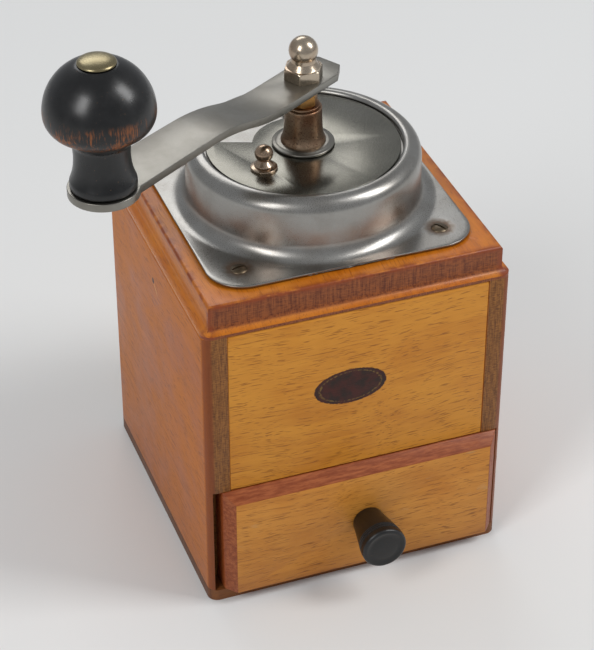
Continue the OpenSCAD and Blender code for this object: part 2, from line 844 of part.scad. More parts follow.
module acorn_nut() {
    hex_r = acorn_af / 2;
    neck_r = acorn_r * 0.86;
    color(nickel)
        translate([0, 0, arm_z1])
            difference() {
                union() {
                    intersection() {
                        hexagon(acorn_af, acorn_hex_h);
                        cylinder(r1 = hex_r + acorn_hex_h, r2 = hex_r + 0.4, h = acorn_hex_h);
                    }
                    translate([0, 0, acorn_hex_h]) cylinder(r1 = hex_r - 0.4, r2 = neck_r, h = acorn_cone_h);
                    translate([0, 0, acorn_hex_h + acorn_cone_h - eps])
                        cylinder(r = neck_r, h = acorn_z - arm_z1 - acorn_hex_h - acorn_cone_h);
                    translate([0, 0, acorn_z - arm_z1]) sphere(acorn_r);
                }
                translate([0, 0, -eps]) cylinder(r = stud_r + seat_fit, h = stud_top - arm_z1 + 2 * eps);
            }
}

// Outline of the turned crank knob, from its foot to the flat under the head
function knob_outline() =
    let (ball_z = 0.62 * knob_h, waist_z = 0.26 * knob_h, lip = 8,
        top = sqrt(1 - pow((cap_r + 0.4) / knob_r, 2)))
    concat([[knob_foot_r - 0.6, 0], [knob_foot_r, 0.8]],
        arc([knob_waist_r + 7, waist_z], 7, 14, 222, 152, 9),
        arc([knob_r - lip, ball_z], lip, lip, -52, -8, 5),
        arc([0, ball_z], knob_r, (knob_h - ball_z) / top, 0, acos((cap_r + 0.4) / knob_r), 12));

module crank_knob() {
    color(black)
        rotate(crank_az) translate([crank_l, 0, knob_z])
            difference() {
                rotate_extrude() polygon(concat([[0, 0]], knob_outline(), [[0, knob_h]]));
                translate([0, 0, -eps]) cylinder(r = pin_r + run_fit, h = knob_h + 2 * eps);
            }
}

module knob_spindle() {
    head_z = knob_z + knob_h + flat_gap;
    rivet_h = 1;
    color(nickel)
        rotate(crank_az) translate([crank_l, 0, 0])
            rotate_extrude()
                polygon(concat([[0, end_z0 - rivet_h], [pin_r + 0.6, end_z0 - rivet_h],
                    [pin_r + 1.4, end_z0], [pin_r, end_z0], [pin_r, head_z]],
                    arc([0, head_z], cap_r, cap_h, 0, 90, 8)));
}

// Board with a bevel on the top and on both sides of its proud part
module drawer_front() {
    color(beech)
        difference() {
            intersection() {
                translate([case_w, 0, 0]) rotate([90, 0, -90])
                    linear_extrude(2 * case_w)
                        polygon([[-dfront_y1, drawer_z0], [-dfront_y1, drawer_z0 + drawer_front_h],
                            [case_d / 2, drawer_z0 + drawer_front_h],
                            [-dfront_y0, drawer_z0 + drawer_front_h - drawer_bevel],
                            [-dfront_y0, drawer_z0]]);
                translate([drawer_off, 0, 0])
                    linear_extrude(case_h)
                        polygon([[-dfront_w / 2, dfront_y1], [-dfront_w / 2, -case_d / 2],
                            [-dfront_w / 2 + drawer_bevel, dfront_y0],
                            [dfront_w / 2 - drawer_bevel, dfront_y0],
                            [dfront_w / 2, -case_d / 2], [dfront_w / 2, dfront_y1]]);
            }
            translate([-dbox_x + groove_d, dfront_y1 - groove_d, groove_z - seat_fit])
                cube([2 * (dbox_x - groove_d), groove_d + eps, drawer_bottom_t + 2 * seat_fit]);
            translate([dknob_x, dfront_y1 + eps, dknob_z]) rotate([90, 0, 0])
                cylinder(r = dknob_screw_r + seat_fit, h = drawer_front_t + drawer_proud + 2 * eps);
        }
}

module drawer_side() {
    color(beech)
        difference() {
            translate([dbox_x - drawer_side_t, dfront_y1, drawer_z0])
                cube([drawer_side_t, drawer_l, drawer_side_h]);
            translate([dbox_x - drawer_side_t - eps, dfront_y1 - eps, groove_z - seat_fit])
                cube([groove_d + eps, drawer_l - drawer_side_t + groove_d + eps, drawer_bottom_t + 2 * seat_fit]);
        }
}

module drawer_side_right() {
    drawer_side();
}

module drawer_side_left() {
    mirror([1, 0, 0]) drawer_side();
}

module drawer_back() {
    color(beech)
        difference() {
            translate([-dbox_x + drawer_side_t, dbox_y1 - drawer_side_t, drawer_z0])
                cube([2 * (dbox_x - drawer_side_t), drawer_side_t, drawer_side_h]);
            translate([-dbox_x, dbox_y1 - drawer_side_t - eps, groove_z - seat_fit])
                cube([2 * dbox_x, groove_d + eps, drawer_bottom_t + 2 * seat_fit]);
        }
}

module drawer_bottom() {
    color(beech_dark)
        translate([-dbox_x + drawer_side_t - groove_d, dfront_y1 - groove_d, groove_z])
            cube([2 * (dbox_x - drawer_side_t + groove_d),
                drawer_l - drawer_side_t + 2 * groove_d, drawer_bottom_t]);
}

module drawer_knob() {
    groove_r = 0.35;
    rim_r = 1.2;
    color(black)
        translate([dknob_x, dfront_y0, dknob_z]) rotate([90, 0, 0])
            difference() {
                rotate_extrude()
                    polygon(concat([[dknob_screw_r + seat_fit, 0], [dknob_r_back, 0], [dknob_r_front, dknob_l - 3.4]],
                        arc([dknob_r_front - rim_r, dknob_l - rim_r], rim_r, rim_r, 0, 90, 5),
                        arc([0, dknob_l - rim_r * 2], dknob_r_front - rim_r * 1.5, rim_r * 2, 0, 90, 5),
                        [[0, dknob_l - 4], [dknob_screw_r + seat_fit, dknob_l - 4]]));
                for (i = [0:2])
                    translate([0, 0, dknob_l - 4.6 + i * 1.1])
                        rotate_extrude() translate([dknob_r_front, 0]) circle(groove_r, $fn = 16);
            }
}

module drawer_knob_screw() {
    color(rusty)
        translate([dknob_x, dfront_y1, dknob_z]) rotate([-90, 0, 0])
            slotted_screw(3.6, 1.4, dknob_screw_r, drawer_front_t + drawer_proud + dknob_l / 2);
}

base_board();
side_board_left();
side_board_right();
front_panel();
back_panel();
top_board();
drawer_rail_left();
drawer_rail_right();
base_screws();
hopper_cover();
cover_screws();
hopper_funnel();
filler_plate();
upper_bridge();
bridge_screws();
bearing_sleeve();
bridge_nut();
lid_collar();
lid_disc();
lid_knob();
outer_burr();
burr_screws();
lower_bridge();
lower_bridge_screws();
bearing_bush();
drive_shaft();
inner_burr();
burr_pin();
thrust_washer();
adjusting_nut();
crank_arm();
acorn_nut();
crank_knob();
knob_spindle();
drawer_front();
drawer_side_left();
drawer_side_right();
drawer_back();
drawer_bottom();
drawer_knob();
drawer_knob_screw();
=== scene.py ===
"""Looks of a wooden box coffee mill: boards, pressed steel cover, lid, crank, knobs and drawer."""
from math import acos, atan2, cos, degrees, hypot, pi, radians, sin, sqrt

import bpy
from mathutils import Matrix, Vector


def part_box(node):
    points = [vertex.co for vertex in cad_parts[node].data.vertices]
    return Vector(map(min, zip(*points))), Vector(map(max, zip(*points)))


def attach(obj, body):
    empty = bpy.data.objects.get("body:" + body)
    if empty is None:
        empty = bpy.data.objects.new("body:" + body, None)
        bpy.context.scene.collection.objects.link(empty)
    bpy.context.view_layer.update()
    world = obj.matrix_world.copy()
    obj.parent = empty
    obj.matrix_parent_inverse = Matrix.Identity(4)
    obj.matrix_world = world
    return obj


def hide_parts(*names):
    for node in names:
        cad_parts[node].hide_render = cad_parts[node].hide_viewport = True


bl_info = {
    "name": "Box Coffee Mill",
    "version": (1, 0, 0),
    "blender": (4, 5, 0),
    "location": "View3D > Sidebar > Mill",
    "description": "Builds the visible pieces and finishes of a wooden box coffee mill",
    "category": "Add Mesh",
}

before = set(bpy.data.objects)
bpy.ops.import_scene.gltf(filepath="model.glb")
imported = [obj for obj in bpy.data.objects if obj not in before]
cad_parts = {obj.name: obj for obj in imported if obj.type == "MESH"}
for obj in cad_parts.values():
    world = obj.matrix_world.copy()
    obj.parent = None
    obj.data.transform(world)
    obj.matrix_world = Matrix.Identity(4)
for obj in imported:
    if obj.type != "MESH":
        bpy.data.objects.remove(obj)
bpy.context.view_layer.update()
MM = 0.001
SCREW_AT = 39.2
SCREW_HEAD = 3.3
EMBLEM_MIDDLE = (-0.0035, 0.0900)
EMBLEM_HALF = (0.0145, 0.0078)
NAIL_HOLE = (0.001, 0.1112)


# ---------------------------------------------------------------- small tools

def srgb(red, green, blue):
    """A colour given as 0 to 255 on screen, as the linear colour that a shader takes."""
    def linear(level):
        level /= 255
        return level / 12.92 if level <= 0.04045 else ((level + 0.055) / 1.055) ** 2.4
    return (linear(red), linear(green), linear(blue), 1)


def select_none():
    if bpy.context.mode != "OBJECT":
        bpy.ops.object.mode_set(mode="OBJECT")
    bpy.ops.object.select_all(action="DESELECT")


def edit(piece):
    """Edit mode on one piece with nothing selected."""
    select_none()
    piece.select_set(True)
    bpy.context.view_layer.objects.active = piece
    bpy.ops.object.mode_set(mode="EDIT")
    bpy.ops.mesh.select_all(action="DESELECT")


def close(piece, smooth_angle=40):
    """Merge doubles, turn the faces outwards, go back to object mode and shade smoothly."""
    if bpy.context.mode == "OBJECT":
        edit(piece)
    bpy.ops.mesh.select_all(action="SELECT")
    bpy.ops.mesh.remove_doubles(threshold=1e-6)
    bpy.ops.mesh.normals_make_consistent(inside=False)
    bpy.ops.object.mode_set(mode="OBJECT")
    bpy.ops.object.shade_smooth_by_angle(angle=radians(smooth_angle))


def settle(piece):
    """The piece's place goes into its mesh, so that its object is at the origin, unturned and unscaled."""
    select_none()
    piece.select_set(True)
    bpy.context.view_layer.objects.active = piece
    bpy.ops.object.transform_apply(location=True, rotation=True, scale=True)


def named(name):
    piece = bpy.context.active_object
    piece.name = name
    piece.data.name = name
    return piece


def apply_modifier(piece, kind, **values):
    select_none()
    piece.select_set(True)
    bpy.context.view_layer.objects.active = piece
    modifier = piece.modifiers.new(kind.title(), kind)
    for key, value in values.items():
        setattr(modifier, key, value)
    bpy.ops.object.modifier_apply(modifier=modifier.name)


def arc(centre, radius, start, end, steps, radius_y=None):
    """Points of an arc in the profile plane, in millimetres, angles in degrees."""
    radius_y = radius if radius_y is None else radius_y
    turns = [radians(start + (end - start) * i / steps) for i in range(steps + 1)]
    return [(centre[0] + radius * cos(a), centre[1] + radius_y * sin(a)) for a in turns]


def lathe(name, profile, steps=96, centre=(0, 0), smooth_angle=40, closed=True):
    """A turned piece about an upright axis: one vertex is extruded along the profile and spun."""
    select_none()
    bpy.ops.mesh.primitive_plane_add(size=MM, location=(0, 0, 0))
    piece = named(name)
    edit(piece)
    bpy.ops.mesh.select_mode(type="VERT")
    bpy.ops.mesh.select_all(action="SELECT")
    bpy.ops.mesh.merge(type="CENTER")
    points = [(max(r, 0) * MM, z * MM) for r, z in profile]
    bpy.ops.transform.translate(value=(points[0][0], 0, points[0][1]))
    at = points[0]
    for r, z in points[1:]:
        bpy.ops.mesh.extrude_vertices_move(
            TRANSFORM_OT_translate={"value": (r - at[0], 0, z - at[1])})
        at = (r, z)
    bpy.ops.mesh.select_all(action="SELECT")
    bpy.ops.mesh.spin(steps=steps, angle=2 * pi, center=(0, 0, 0), axis=(0, 0, 1))
    if closed and points[0] != points[-1] and min(points[0][0], points[-1][0]) > 1e-9:
        bpy.ops.mesh.select_all(action="SELECT")
        bpy.ops.mesh.remove_doubles(threshold=1e-6)
        bpy.ops.mesh.select_all(action="DESELECT")
        bpy.ops.mesh.select_mode(type="EDGE")
        bpy.ops.mesh.select_non_manifold()
        bpy.ops.mesh.bridge_edge_loops()
    close(piece, smooth_angle)
    piece.location = (centre[0] * MM, centre[1] * MM, 0)
    settle(piece)
    return piece


def copied(name, node):
    """A free copy of a CAD node's mesh, merged and with its flat faces whole, ready for edit operators."""
    select_none()
    piece = bpy.data.objects.new(name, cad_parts[node].data.copy())
    piece.data.name = name
    bpy.context.scene.collection.objects.link(piece)
    edit(piece)
    bpy.ops.mesh.customdata_custom_splitnormals_clear()
    bpy.ops.mesh.select_all(action="SELECT")
    bpy.ops.mesh.remove_doubles(threshold=2e-6)
    bpy.ops.mesh.dissolve_limited(angle_limit=radians(0.5))
    return piece


def eased(name, node, radius, segments=3, sharp=35, smooth_angle=40):
    """A CAD node's own form with its sharp edges rounded to a radius in millimetres."""
    piece = copied(name, node)
    bpy.ops.mesh.select_mode(type="EDGE")
    bpy.ops.mesh.select_all(action="DESELECT")
    bpy.ops.mesh.edges_select_sharp(sharpness=radians(sharp))
    bpy.ops.mesh.bevel(offset=radius * MM, segments=segments, profile=0.5, clamp_overlap=True)
    close(piece, smooth_angle)
    piece.data.materials.clear()
    return piece


def dress(piece, material, body, slot, *nodes):
    """Finish, body and the CAD nodes that the piece stands for. The slot argument is not used."""
    piece.data.materials.clear()
    piece.data.materials.append(material)
    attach(piece, body)
    if nodes:
        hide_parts(*nodes)


def finish_nodes(material, *nodes):
    """CAD nodes keep their form and take a finish."""
    for node in nodes:
        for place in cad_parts[node].material_slots:
            place.material = material


# ---------------------------------------------------------------- shader tools

def add(tree, kind, inputs=None, **values):
    """A shader node; an input is a constant or another node's output."""
    node = tree.nodes.new(kind)
    for key, value in values.items():
        setattr(node, key, value)
    for key, value in (inputs or {}).items():
        socket = node.inputs[key]
        if isinstance(value, bpy.types.NodeSocket):
            tree.links.new(value, socket)
        else:
            socket.default_value = value
    return node


def math(tree, operation, first, second=0.0, clamp=False):
    node = add(tree, "ShaderNodeMath", {0: first, 1: second}, operation=operation, use_clamp=clamp)
    return node.outputs[0]


def stretch(tree, vector, scale):
    """The vector scaled by three numbers."""
    return add(tree, "ShaderNodeVectorMath", {0: vector, 1: scale}, operation="MULTIPLY").outputs[0]


def noise(tree, vector, scale=1.0, detail=2.0, rough=0.5, distortion=0.0):
    return add(tree, "ShaderNodeTexNoise", {
        "Vector": vector, "Scale": scale, "Detail": detail, "Roughness": rough,
        "Distortion": distortion}).outputs["Fac"]


def ramp(tree, value, low, high, start=0.0, end=1.0):
    """Smooth step from start to end while the value goes from low to high."""
    return add(tree, "ShaderNodeMapRange", {
        "Value": value, "From Min": low, "From Max": high, "To Min": start, "To Max": end},
        interpolation_type="SMOOTHSTEP").outputs["Result"]


def blend(tree, factor, first, second, mode="MIX"):
    node = tree.nodes.new("ShaderNodeMix")
    node.data_type = "RGBA"
    node.blend_type = mode
    for index, value in ((0, factor), (6, first), (7, second)):
        if isinstance(value, bpy.types.NodeSocket):
            tree.links.new(value, node.inputs[index])
        else:
            node.inputs[index].default_value = value
    return node.outputs[2]


def group_of(name, inputs, outputs):
    """A new shader group with float or vector inputs and outputs, and its two end nodes."""
    tree = bpy.data.node_groups.new(name, "ShaderNodeTree")
    for label, kind in inputs:
        tree.interface.new_socket(label, in_out="INPUT", socket_type=kind)
    for label, kind in outputs:
        tree.interface.new_socket(label, in_out="OUTPUT", socket_type=kind)
    return tree, tree.nodes.new("NodeGroupInput").outputs, tree.nodes.new("NodeGroupOutput").inputs


def use(tree, group, inputs):
    node = tree.nodes.new("ShaderNodeGroup")
    node.node_tree = bpy.data.node_groups[group]
    for key, value in inputs.items():
        if isinstance(value, bpy.types.NodeSocket):
            tree.links.new(value, node.inputs[key])
        else:
            node.inputs[key].default_value = value
    return node.outputs


def grain_group():
    """Beech: long streaks, short dark rays, cloudy patches and a height for the pores. Grain runs along X."""
    vector, number = "NodeSocketVector", "NodeSocketFloat"
    tree, given, out = group_of("beech_grain", [("Vector", vector)], [
        ("Streak", number), ("Ray", number), ("Cloud", number), ("Height", number)])
    at = stretch(tree, given["Vector"], (1000, 1000, 1000))
    wide = stretch(tree, at, (0.016, 0.02, 0.02))
    sway = add(tree, "ShaderNodeTexNoise", {"Vector": wide, "Scale": 1.0}).outputs["Color"]
    sway = add(tree, "ShaderNodeVectorMath", {0: sway, 1: (0.5, 0.5, 0.5)}, operation="SUBTRACT").outputs[0]
    at = add(tree, "ShaderNodeVectorMath", {0: stretch(tree, sway, (0, 9, 9)), 1: at}, operation="ADD").outputs[0]
    streak = noise(tree, stretch(tree, at, (0.012, 0.42, 0.42)), detail=4, rough=0.6)
    short = ramp(tree, noise(tree, stretch(tree, at, (0.16, 2.4, 2.4)), detail=1.5), 0.57, 0.70)
    long_ray = ramp(tree, noise(tree, stretch(tree, at, (0.05, 1.3, 1.3)), detail=2), 0.60, 0.74)
    where = ramp(tree, noise(tree, at, 0.03, 2), 0.35, 0.62)
    ray = math(tree, "MAXIMUM", short, math(tree, "MULTIPLY", long_ray, where), clamp=True)
    fine = noise(tree, stretch(tree, at, (0.5, 7, 7)), detail=1)
    tree.links.new(ramp(tree, streak, 0.3, 0.7), out["Streak"])
    tree.links.new(ray, out["Ray"])
    tree.links.new(ramp(tree, noise(tree, at, 0.035, 3, 0.6), 0.3, 0.7), out["Cloud"])
    height = math(tree, "SUBTRACT", math(tree, "MULTIPLY", fine, 0.35), math(tree, "MULTIPLY", ray, 0.65))
    tree.links.new(height, out["Height"])


def wear_group():
    """Scuffed patches: a mask with ragged edges. A greater amount gives more of them."""
    vector, number = "NodeSocketVector", "NodeSocketFloat"
    tree, given, out = group_of("scuffed_patches", [("Vector", vector), ("Size", number), ("Amount", number)],
                                [("Mask", number)])
    at = stretch(tree, given["Vector"], (1000, 1000, 1000))
    wide = add(tree, "ShaderNodeTexNoise", {"Vector": at, "Scale": math(tree, "DIVIDE", 1.0, given["Size"]),
                                            "Detail": 5.0, "Roughness": 0.72}).outputs["Fac"]
    level = math(tree, "ADD", wide, math(tree, "SUBTRACT", given["Amount"], 0.5))
    tree.links.new(ramp(tree, level, 0.56, 0.68), out["Mask"])


def tarnish_group():
    """Old plating: cloudy stain, dark pits and a fine height."""
    vector, number = "NodeSocketVector", "NodeSocketFloat"
    tree, given, out = group_of("old_plating", [("Vector", vector), ("Pits", number)], [
        ("Stain", number), ("Pit", number), ("Fine", number), ("Height", number)])
    at = stretch(tree, given["Vector"], (1000, 1000, 1000))
    stain = ramp(tree, noise(tree, at, 0.07, 4, 0.6), 0.35, 0.7)
    spots = noise(tree, at, 1.6, 3, 0.6)
    level = math(tree, "ADD", spots, math(tree, "SUBTRACT", given["Pits"], 0.5))
    pit = ramp(tree, level, 0.60, 0.72)
    fine = noise(tree, at, 4.0, 2)
    tree.links.new(stain, out["Stain"])
    tree.links.new(pit, out["Pit"])
    tree.links.new(fine, out["Fine"])
    tree.links.new(math(tree, "SUBTRACT", math(tree, "MULTIPLY", fine, 0.25), pit), out["Height"])


def edge_group():
    """Nearness to the edges of a box given by its corners in metres: 1 on an edge, 0 a width away."""
    vector, number = "NodeSocketVector", "NodeSocketFloat"
    tree, given, out = group_of("box_edges", [("Vector", vector), ("Low", vector), ("High", vector),
                                              ("Width", number)], [("Mask", number)])
    near = add(tree, "ShaderNodeVectorMath", {0: given["Vector"], 1: given["Low"]}, operation="SUBTRACT").outputs[0]
    distant = add(tree, "ShaderNodeVectorMath", {0: given["High"], 1: given["Vector"]},
                  operation="SUBTRACT").outputs[0]
    least = add(tree, "ShaderNodeVectorMath", {0: near, 1: distant}, operation="MINIMUM").outputs[0]
    parts = add(tree, "ShaderNodeSeparateXYZ", {0: least}).outputs
    lower = math(tree, "MINIMUM", parts[0], parts[1])
    upper = math(tree, "MAXIMUM", parts[0], parts[1])
    second = math(tree, "MAXIMUM", lower, math(tree, "MINIMUM", upper, parts[2]))
    share = math(tree, "DIVIDE", second, given["Width"])
    tree.links.new(ramp(tree, share, 0, 1, 1, 0), out["Mask"])


def shader_of(name):
    """A new material with its tree, shader, object coordinates and object normal."""
    material = bpy.data.materials.new(name)
    material.use_nodes = True
    tree = material.node_tree
    shader = tree.nodes["Principled BSDF"]
    places = tree.nodes.new("ShaderNodeTexCoord").outputs
    return material, tree, shader, places["Object"], places["Normal"]


def bump(tree, shader, height, distance, strength=1.0):
    node = add(tree, "ShaderNodeBump", {"Height": height, "Distance": distance, "Strength": strength})
    tree.links.new(node.outputs["Normal"], shader.inputs["Normal"])


# ---------------------------------------------------------------- finishes

def wood(name, base, dark, pale, ray, end_base=None, end_dark=None, along="X", corner=None,
         sheen=0.3, roughness=0.42, scuff=None, scuff_size=22, scuff_amount=0.45, edge=None, box=None,
         streak_depth=0.55, ray_depth=0.5, extra=None):
    """Shellacked beech with the grain along X or Y, its own end grain and painted shade on the rounded corners."""
    material, tree, shader, place, normal = shader_of(name)
    turn = (0, 0, 0) if along == "X" else (0, 0, pi / 2)
    laid = add(tree, "ShaderNodeMapping", {"Vector": place, "Rotation": turn}).outputs[0]
    grain = use(tree, "beech_grain", {"Vector": laid})
    colour = blend(tree, math(tree, "MULTIPLY", grain["Streak"], streak_depth), base, dark)
    colour = blend(tree, math(tree, "MULTIPLY", grain["Cloud"], 0.55), colour, pale)
    colour = blend(tree, math(tree, "MULTIPLY", grain["Ray"], ray_depth), colour, ray)
    parts = add(tree, "ShaderNodeSeparateXYZ", {0: normal}).outputs
    size = {i: math(tree, "ABSOLUTE", parts[i]) for i in range(3)}
    rough = add(tree, "ShaderNodeMapRange", {"Value": grain["Cloud"], "To Min": roughness - 0.06,
                                             "To Max": roughness + 0.1}).outputs[0]
    if end_base:
        across = add(tree, "ShaderNodeVectorMath", {0: place, 1: (1000, 1000, 1000)}, operation="MULTIPLY").outputs[0]
        hatch = noise(tree, stretch(tree, across, (0.5, 0.5, 2.6)), detail=3, rough=0.7)
        upright = noise(tree, stretch(tree, across, (2.2, 2.2, 0.16)), detail=2)
        tone = math(tree, "ADD", math(tree, "MULTIPLY", hatch, 0.55), math(tree, "MULTIPLY", upright, 0.45))
        ends = blend(tree, ramp(tree, tone, 0.4, 0.62), end_base, end_dark)
        axis = 0 if along == "X" else 1
        colour = blend(tree, ramp(tree, size[axis], 0.55, 0.85), colour, ends)
    # Painted shade: faces turned between X and Y, the rounded corners, are darkened to the corner colour.
    if corner:
        corner_shade_mask = math(tree, "MULTIPLY", math(tree, "MULTIPLY", size[0], size[1]), 2.0)
        colour = blend(tree, ramp(tree, corner_shade_mask, 0.25, 0.8, 0, 0.85), colour, corner)
    if edge:
        near = use(tree, "box_edges", {"Vector": place, "Low": box[0], "High": box[1], "Width": 0.0032})["Mask"]
        broken = noise(tree, stretch(tree, place, (1000, 1000, 1000)), 0.22, 3, 0.65)
        near = math(tree, "MULTIPLY", near, ramp(tree, broken, 0.3, 0.6))
        colour = blend(tree, near, colour, edge)
    if scuff:
        mask = use(tree, "scuffed_patches", {
            "Vector": stretch(tree, laid, (0.35, 1, 1)), "Size": scuff_size, "Amount": scuff_amount})["Mask"]
        colour = blend(tree, math(tree, "MULTIPLY", mask, 0.55), colour, scuff)
        rough = math(tree, "ADD", rough, math(tree, "MULTIPLY", mask, 0.18))
    if extra:
        colour = extra(tree, place, normal, colour)
    tree.links.new(colour, shader.inputs["Base Color"])
    tree.links.new(rough, shader.inputs["Roughness"])
    shader.inputs["Coat Weight"].default_value = sheen
    shader.inputs["Coat Roughness"].default_value = 0.22
    shader.inputs["Specular IOR Level"].default_value = 0.3
    bump(tree, shader, grain["Height"], 0.00006, 0.7)
    return material


def metal(name, base, stain, pit_colour, roughness=0.32, pits=0.35, stain_depth=0.6, depth=0.00003, extra=None):
    """Worn nickel plate or bare steel with stain and pits."""
    material, tree, shader, place, normal = shader_of(name)
    old = use(tree, "old_plating", {"Vector": place, "Pits": pits})
    colour = blend(tree, math(tree, "MULTIPLY", old["Stain"], stain_depth), base, stain)
    colour = blend(tree, math(tree, "MULTIPLY", old["Pit"], 0.8), colour, pit_colour)
    rough = add(tree, "ShaderNodeMapRange", {"Value": old["Fine"], "From Min": 0.3, "From Max": 0.7,
                                             "To Min": roughness - 0.05, "To Max": roughness + 0.07}).outputs[0]
    rough = math(tree, "ADD", rough, math(tree, "MULTIPLY", old["Pit"], 0.3))
    if extra:
        colour, rough = extra(tree, place, normal, colour, rough)
    tree.links.new(colour, shader.inputs["Base Color"])
    tree.links.new(rough, shader.inputs["Roughness"])
    shader.inputs["Metallic"].default_value = 1.0
    bump(tree, shader, old["Height"], depth, 0.6)
    return material


def cover_stains(tree, place, normal, colour, rough):
    """Brown rings round the screws and a warm stain low on the wall of the dome."""
    parts = add(tree, "ShaderNodeSeparateXYZ", {0: place}).outputs
    x_off = math(tree, "SUBTRACT", math(tree, "ABSOLUTE", parts[0]), SCREW_AT * MM)
    y_off = math(tree, "SUBTRACT", math(tree, "ABSOLUTE", parts[1]), SCREW_AT * MM)
    away = math(tree, "SQRT", math(tree, "ADD", math(tree, "MULTIPLY", x_off, x_off),
                                   math(tree, "MULTIPLY", y_off, y_off)))
    rough_edge = noise(tree, stretch(tree, place, (1000, 1000, 1000)), 0.5, 3, 0.6)
    away = math(tree, "ADD", away, math(tree, "MULTIPLY", math(tree, "SUBTRACT", rough_edge, 0.5), 0.004))
    ring = ramp(tree, away, 0.0032, 0.0068, 1, 0)
    colour = blend(tree, math(tree, "MULTIPLY", ring, 0.75), colour, srgb(104, 76, 50))
    low = math(tree, "MULTIPLY", ramp(tree, parts[2], 0.139, 0.146), ramp(tree, parts[2], 0.146, 0.153, 1, 0))
    cloud = ramp(tree, noise(tree, stretch(tree, place, (1000, 1000, 1000)), 0.06, 3), 0.35, 0.65)
    colour = blend(tree, math(tree, "MULTIPLY", math(tree, "MULTIPLY", low, cloud), 0.5), colour, srgb(150, 118, 98))
    return colour, math(tree, "ADD", rough, math(tree, "MULTIPLY", ring, 0.2))


def knob_wear(low, high, centre):
    """Lacquer worn through to the orange-brown wood in a ragged band between two heights."""
    def paint(tree, place, colour, rough):
        parts = add(tree, "ShaderNodeSeparateXYZ", {0: place}).outputs
        band = math(tree, "MULTIPLY", ramp(tree, parts[2], low, low + 0.004),
                    ramp(tree, parts[2], high - 0.004, high, 1, 0))
        moved = add(tree, "ShaderNodeMapping", {"Vector": place, "Location": (-centre[0], -centre[1], 0)}).outputs[0]
        upright = noise(tree, stretch(tree, moved, (1500, 1500, 130)), 1.0, 4, 0.7)
        patch = noise(tree, stretch(tree, moved, (1000, 1000, 1000)), 0.09, 3, 0.6)
        level = math(tree, "ADD", math(tree, "MULTIPLY", upright, 0.55), math(tree, "MULTIPLY", patch, 0.45))
        mask = math(tree, "MULTIPLY", band, ramp(tree, level, 0.49, 0.6))
        return (blend(tree, mask, colour, srgb(128, 70, 24)),
                math(tree, "ADD", rough, math(tree, "MULTIPLY", mask, 0.2)), mask)
    return paint


def lacquer(name, base, roughness, wear=None):
    """Old black lacquer with a soft sheen, fine dents and scratches."""
    material, tree, shader, place, normal = shader_of(name)
    at = stretch(tree, place, (1000, 1000, 1000))
    cloud = noise(tree, at, 0.25, 3, 0.6)
    colour = blend(tree, ramp(tree, cloud, 0.4, 0.8), base, srgb(20, 20, 21))
    specks = ramp(tree, noise(tree, at, 1.1, 2, 0.5), 0.70, 0.76)
    colour = blend(tree, math(tree, "MULTIPLY", specks, 0.6), colour, srgb(96, 72, 50))
    rough = add(tree, "ShaderNodeMapRange", {"Value": cloud, "To Min": roughness - 0.05,
                                             "To Max": roughness + 0.1}).outputs[0]
    height = math(tree, "MULTIPLY", noise(tree, at, 0.5, 4, 0.6), 1.0)
    if wear:
        colour, rough, mask = wear(tree, place, colour, rough)
        height = math(tree, "SUBTRACT", height, math(tree, "MULTIPLY", mask, 0.5))
    tree.links.new(colour, shader.inputs["Base Color"])
    tree.links.new(rough, shader.inputs["Roughness"])
    shader.inputs["Specular IOR Level"].default_value = 0.5
    bump(tree, shader, height, 0.00004, 0.4)
    return material


def nail_mark(tree, place, normal, colour):
    """A nail hole high on the left side, with a pale scratch that runs down and forwards from it."""
    parts = add(tree, "ShaderNodeSeparateXYZ", {0: place}).outputs
    left = ramp(tree, parts[0], -0.0590, -0.0580, 1, 0)
    along = math(tree, "SUBTRACT", parts[1], NAIL_HOLE[0])
    upward = math(tree, "SUBTRACT", parts[2], NAIL_HOLE[1])
    away = math(tree, "SQRT", math(tree, "ADD", math(tree, "MULTIPLY", along, along),
                                   math(tree, "MULTIPLY", upward, upward)))
    offset = math(tree, "ABSOLUTE", math(tree, "SUBTRACT", math(tree, "MULTIPLY", upward, 0.777),
                                         math(tree, "MULTIPLY", along, 0.629)))
    down = math(tree, "ADD", math(tree, "MULTIPLY", upward, -0.629), math(tree, "MULTIPLY", along, -0.777))
    scratch = math(tree, "MULTIPLY", ramp(tree, offset, 0.0001, 0.0005, 1, 0),
                   math(tree, "MULTIPLY", ramp(tree, down, 0.0005, 0.0015), ramp(tree, down, 0.0050, 0.0070, 1, 0)))
    colour = blend(tree, math(tree, "MULTIPLY", math(tree, "MULTIPLY", scratch, left), 0.7), colour,
                   srgb(224, 176, 104))
    hole = math(tree, "MULTIPLY", ramp(tree, away, 0.0009, 0.0015, 1, 0), left)
    return blend(tree, hole, colour, srgb(40, 20, 8))


